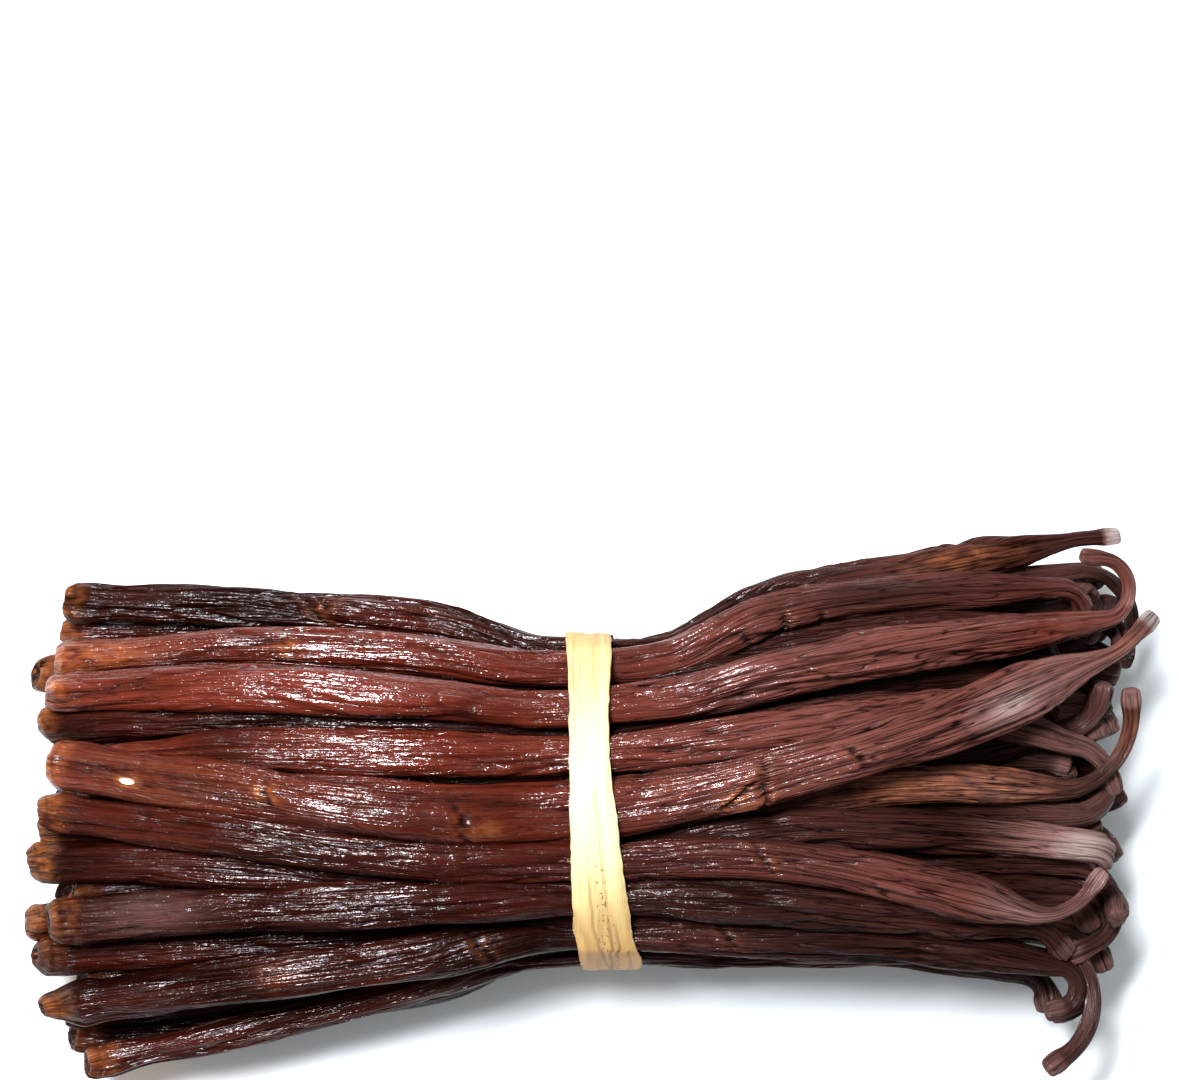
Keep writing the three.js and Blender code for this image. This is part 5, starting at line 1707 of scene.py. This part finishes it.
    def knot(self) -> Surface:
        """The knot: a flattened pillow of wrapped strip, its size falling off as a circle's, with
        two deep folds where the strip passes over itself."""
        long, tall, deep = self.knot_half
        rings, sides = self.knot_grid
        s = np.sin(np.linspace(-1, 1, rings) * math.pi / 2 * 0.98)[:, None]
        angle = 2 * math.pi * np.arange(sides)[None] / sides
        size = np.sqrt(1 - s ** 2)
        wraps = 1 - 0.16 * bell(np.sin(2.2 * angle + 2.5 * s), 0.25)
        wraps = wraps - 0.05 * np.abs(np.sin(11 * angle + 3 * s))
        at = math.radians(self.knot_angle)
        middle = self.on_loop(*np.array([self.knot_x, self.knot_angle, deep + 0.2]))
        out = np.array([0, math.cos(at), math.sin(at)])
        up = np.array([0, -math.sin(at), math.cos(at)])
        flat = np.sign(np.cos(angle)) * np.abs(np.cos(angle)) ** 0.7
        points = (middle + np.array([1.0, 0, 0]) * (long * s)[..., None] * np.ones((1, sides, 1))
                  + out * (deep * size * wraps * flat)[..., None]
                  + up * (tall * size * wraps * np.sin(angle))[..., None])
        # Painted shade: the knot's folds are painted dark where the strip passes over itself.
        look = np.stack(np.broadcast_arrays(0.2 + 0 * wraps, 0.25 + 0 * wraps, 0 * wraps,
                                            2.2 * (1 - wraps)), -1)
        grain = np.stack(np.broadcast_arrays(long * s, 3 * size, angle * 3), -1)
        return Surface(points[:, ::-1], grain[:, ::-1], look[:, ::-1],
                       (points[0].mean(0), points[-1].mean(0)))

    def tail(self, heading: float, length: float, seed: int) -> Surface:
        """A tail: the strip leaving the knot at a heading and lying along the pods, a little
        curled, with a slanting cut end.

        Args:
            heading: degrees from +X, turning up the back.
            length: of the tail.
            seed: for its own waves.

        Returns:
            The closed surface.
        """
        run = np.linspace(0.5, length, self.tail_rings)[:, None]
        across, tall = self.section()
        side = across * (self.tail_width / 2) * (1 + 0.08 * ring_noise(seed, 5, run / 40, 0.5))
        run = run + 0.5 * across * ease(run / length)
        along_x, along_round = math.cos(math.radians(heading)), math.sin(math.radians(heading))
        x = self.knot_x + run * along_x - side * along_round
        degree_long = math.radians(TIED_HALF_WIDTH)
        degrees = self.knot_angle + (run * along_round + side * along_x) / degree_long
        share = (across + 1) / 2
        folds = bell(ring_noise(seed + 1, 3, run / 60, share * 3), 0.14)
        lift = 0.5 * (1 - ease(run / 6)) + 0.5 * ease((run - 7) / length)
        out = 0.15 + lift + 0.45 * tall - 0.12 * folds * (tall > 0.4)
        points = self.on_loop(x, degrees, out)
        # Painted shade in the tail's folds.
        look = np.stack(np.broadcast_arrays(0.3, 0.2, 0.3, 0.3 * folds), -1)
        grain = np.stack(np.broadcast_arrays(side, 3 * tall + 0 * x, run + 40.0 * seed), -1)
        return Surface(points, grain, look, (points[0].mean(0), points[-1].mean(0)))

    def build(self, bundle: PodBundle) -> list[bpy.types.Object]:
        """Makes the band, and the knot with its tails.

        Args:
            bundle: the pods that the tie goes round.

        Returns:
            The two pieces.
        """
        self.fit(bundle)
        tails = [self.tail(h, n, 60 + 10 * k)
                 for k, (h, n) in enumerate(zip(self.tail_headings, self.tail_lengths))]
        return [surfaces_to_object("raffia_band", [self.band()]),
                surfaces_to_object("raffia_knot", [self.knot(), *tails])]


# ---- The studio ---------------------------------------------------------------------------------

@dataclass(frozen=True)
class SoftBox:
    """A soft rectangular lamp that looks at the middle of the bundle.

    Attributes:
        name: the lamp's name.
        place: where it is, in metres.
        size: its width and height, in metres.
        watts: its power.
        colour: sRGB hex.
    """

    name: str
    place: tuple[float, float, float]
    size: tuple[float, float]
    watts: float
    colour: str = "#ffffff"

    def build(self) -> bpy.types.Object:
        """Makes the lamp and turns it to the bundle."""
        data = bpy.data.lights.new(self.name, "AREA")
        data.shape = "RECTANGLE"
        data.size, data.size_y = self.size
        data.energy = self.watts
        data.color = linear(self.colour)
        lamp = bpy.data.objects.new(self.name, data)
        bpy.context.scene.collection.objects.link(lamp)
        lamp.location = self.place
        aim = Vector((0, 0, 0.02)) - Vector(self.place)
        lamp.rotation_euler = aim.to_track_quat("-Z", "Y").to_euler()
        return lamp


@dataclass
class Studio:
    """A plain pale board, soft lamps above and behind, and the camera that looks down on it.

    Attributes:
        eye: the camera's place in millimetres, measured from the tie.
        tilt: degrees that it is tipped back from looking straight down.
        focal_px: its focal length in the picture's pixels.
        frame_px: the picture's width in pixels.
        sensor: width of the sensor in millimetres.
        lamps: the soft boxes.
        room: colour of the room's own light.
        room_strength: how bright it is.
        board_half: half the board's side, in metres.
        clip: nearest and farthest distance that the camera sees, in metres.
    """

    eye: tuple[float, float, float] = (-2.2, -76.3, 465.4)
    tilt: float = 15.0
    focal_px: float = 2812.0
    frame_px: float = 1179.0
    sensor: float = 36.0
    lamps: tuple[SoftBox, ...] = (
        SoftBox("soft_box_above", (-0.18, 0.12, 0.7), (0.32, 0.14), 12.5, "#f4f8ff"),
        SoftBox("soft_box_warm", (-0.5, 0.04, 0.14), (0.1, 0.2), 1.1, "#ffbf80"),
    )
    room: str = "#eef2f6"
    room_strength: float = 0.85
    board_half: float = 3.0
    clip: tuple[float, float] = (0.01, 20.0)

    def build(self) -> None:
        """Makes the board, the lamps, the room's light and the camera."""
        scene = bpy.context.scene
        board = bpy.data.meshes.new("board")
        corners = [(self.board_half * x, self.board_half * y, 0)
                   for x, y in ((-1, -1), (1, -1), (1, 1), (-1, 1))]
        board.from_pydata(corners, [], [(0, 1, 2, 3)])
        floor = bpy.data.objects.new("board", board)
        scene.collection.objects.link(floor)
        board.materials.append(PaleBoard().material())
        floor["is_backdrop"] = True
        for lamp in self.lamps:
            lamp.build()
        world = bpy.data.worlds.new("room")
        world.use_nodes = True
        world.node_tree.nodes.clear()
        glow = add_node(world.node_tree, "ShaderNodeBackground", {
            "Color": rgba(self.room), "Strength": self.room_strength})
        add_node(world.node_tree, "ShaderNodeOutputWorld", {"Surface": glow.outputs[0]})
        scene.world = world
        world.cycles_visibility.glossy = False
        scene.view_settings.view_transform = "Standard"
        scene.view_settings.look = "Medium High Contrast"
        data = bpy.data.cameras.new("camera")
        data.sensor_width = self.sensor
        data.lens = self.focal_px * self.sensor / self.frame_px
        data.clip_start, data.clip_end = self.clip
        camera = bpy.data.objects.new("camera", data)
        scene.collection.objects.link(camera)
        camera.location = (np.array(self.eye) - MIDDLE_OF_BASE) * MM
        camera.rotation_euler = Euler((math.radians(self.tilt), 0, 0))
        scene.camera = camera


# ---- Putting it together ------------------------------------------------------------------------

def main() -> None:
    """Builds the pods, the tie and the studio in turn, and reports each piece."""
    logging.basicConfig(level=logging.INFO, format="%(name)s: %(message)s")
    solid_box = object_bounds()
    skin, raffia = CuredPodSkin().material(), DriedRaffia().material()
    bundle = PodBundle(Heap(), PodMaker())
    tie = RaffiaTie()
    for pieces, node, slot, material in (
        (bundle.build(), "pods", "pod_skin", skin),
        (tie.build(bundle), "tie", "raffia", raffia),
    ):
        for piece in pieces:
            piece.data.materials.append(material)
            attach(piece, "root")
            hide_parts(node)
            triangles = sum(len(p.vertices) - 2 for p in piece.data.polygons)
            LOG.info("%s: %d triangles", piece.name, triangles)
    Studio().build()
    boxes = {"solids": solid_box, "looks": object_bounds()}
    {key: [list(corner) for corner in box] for key, box in boxes.items()}


if __name__ == "__main__":
    main()
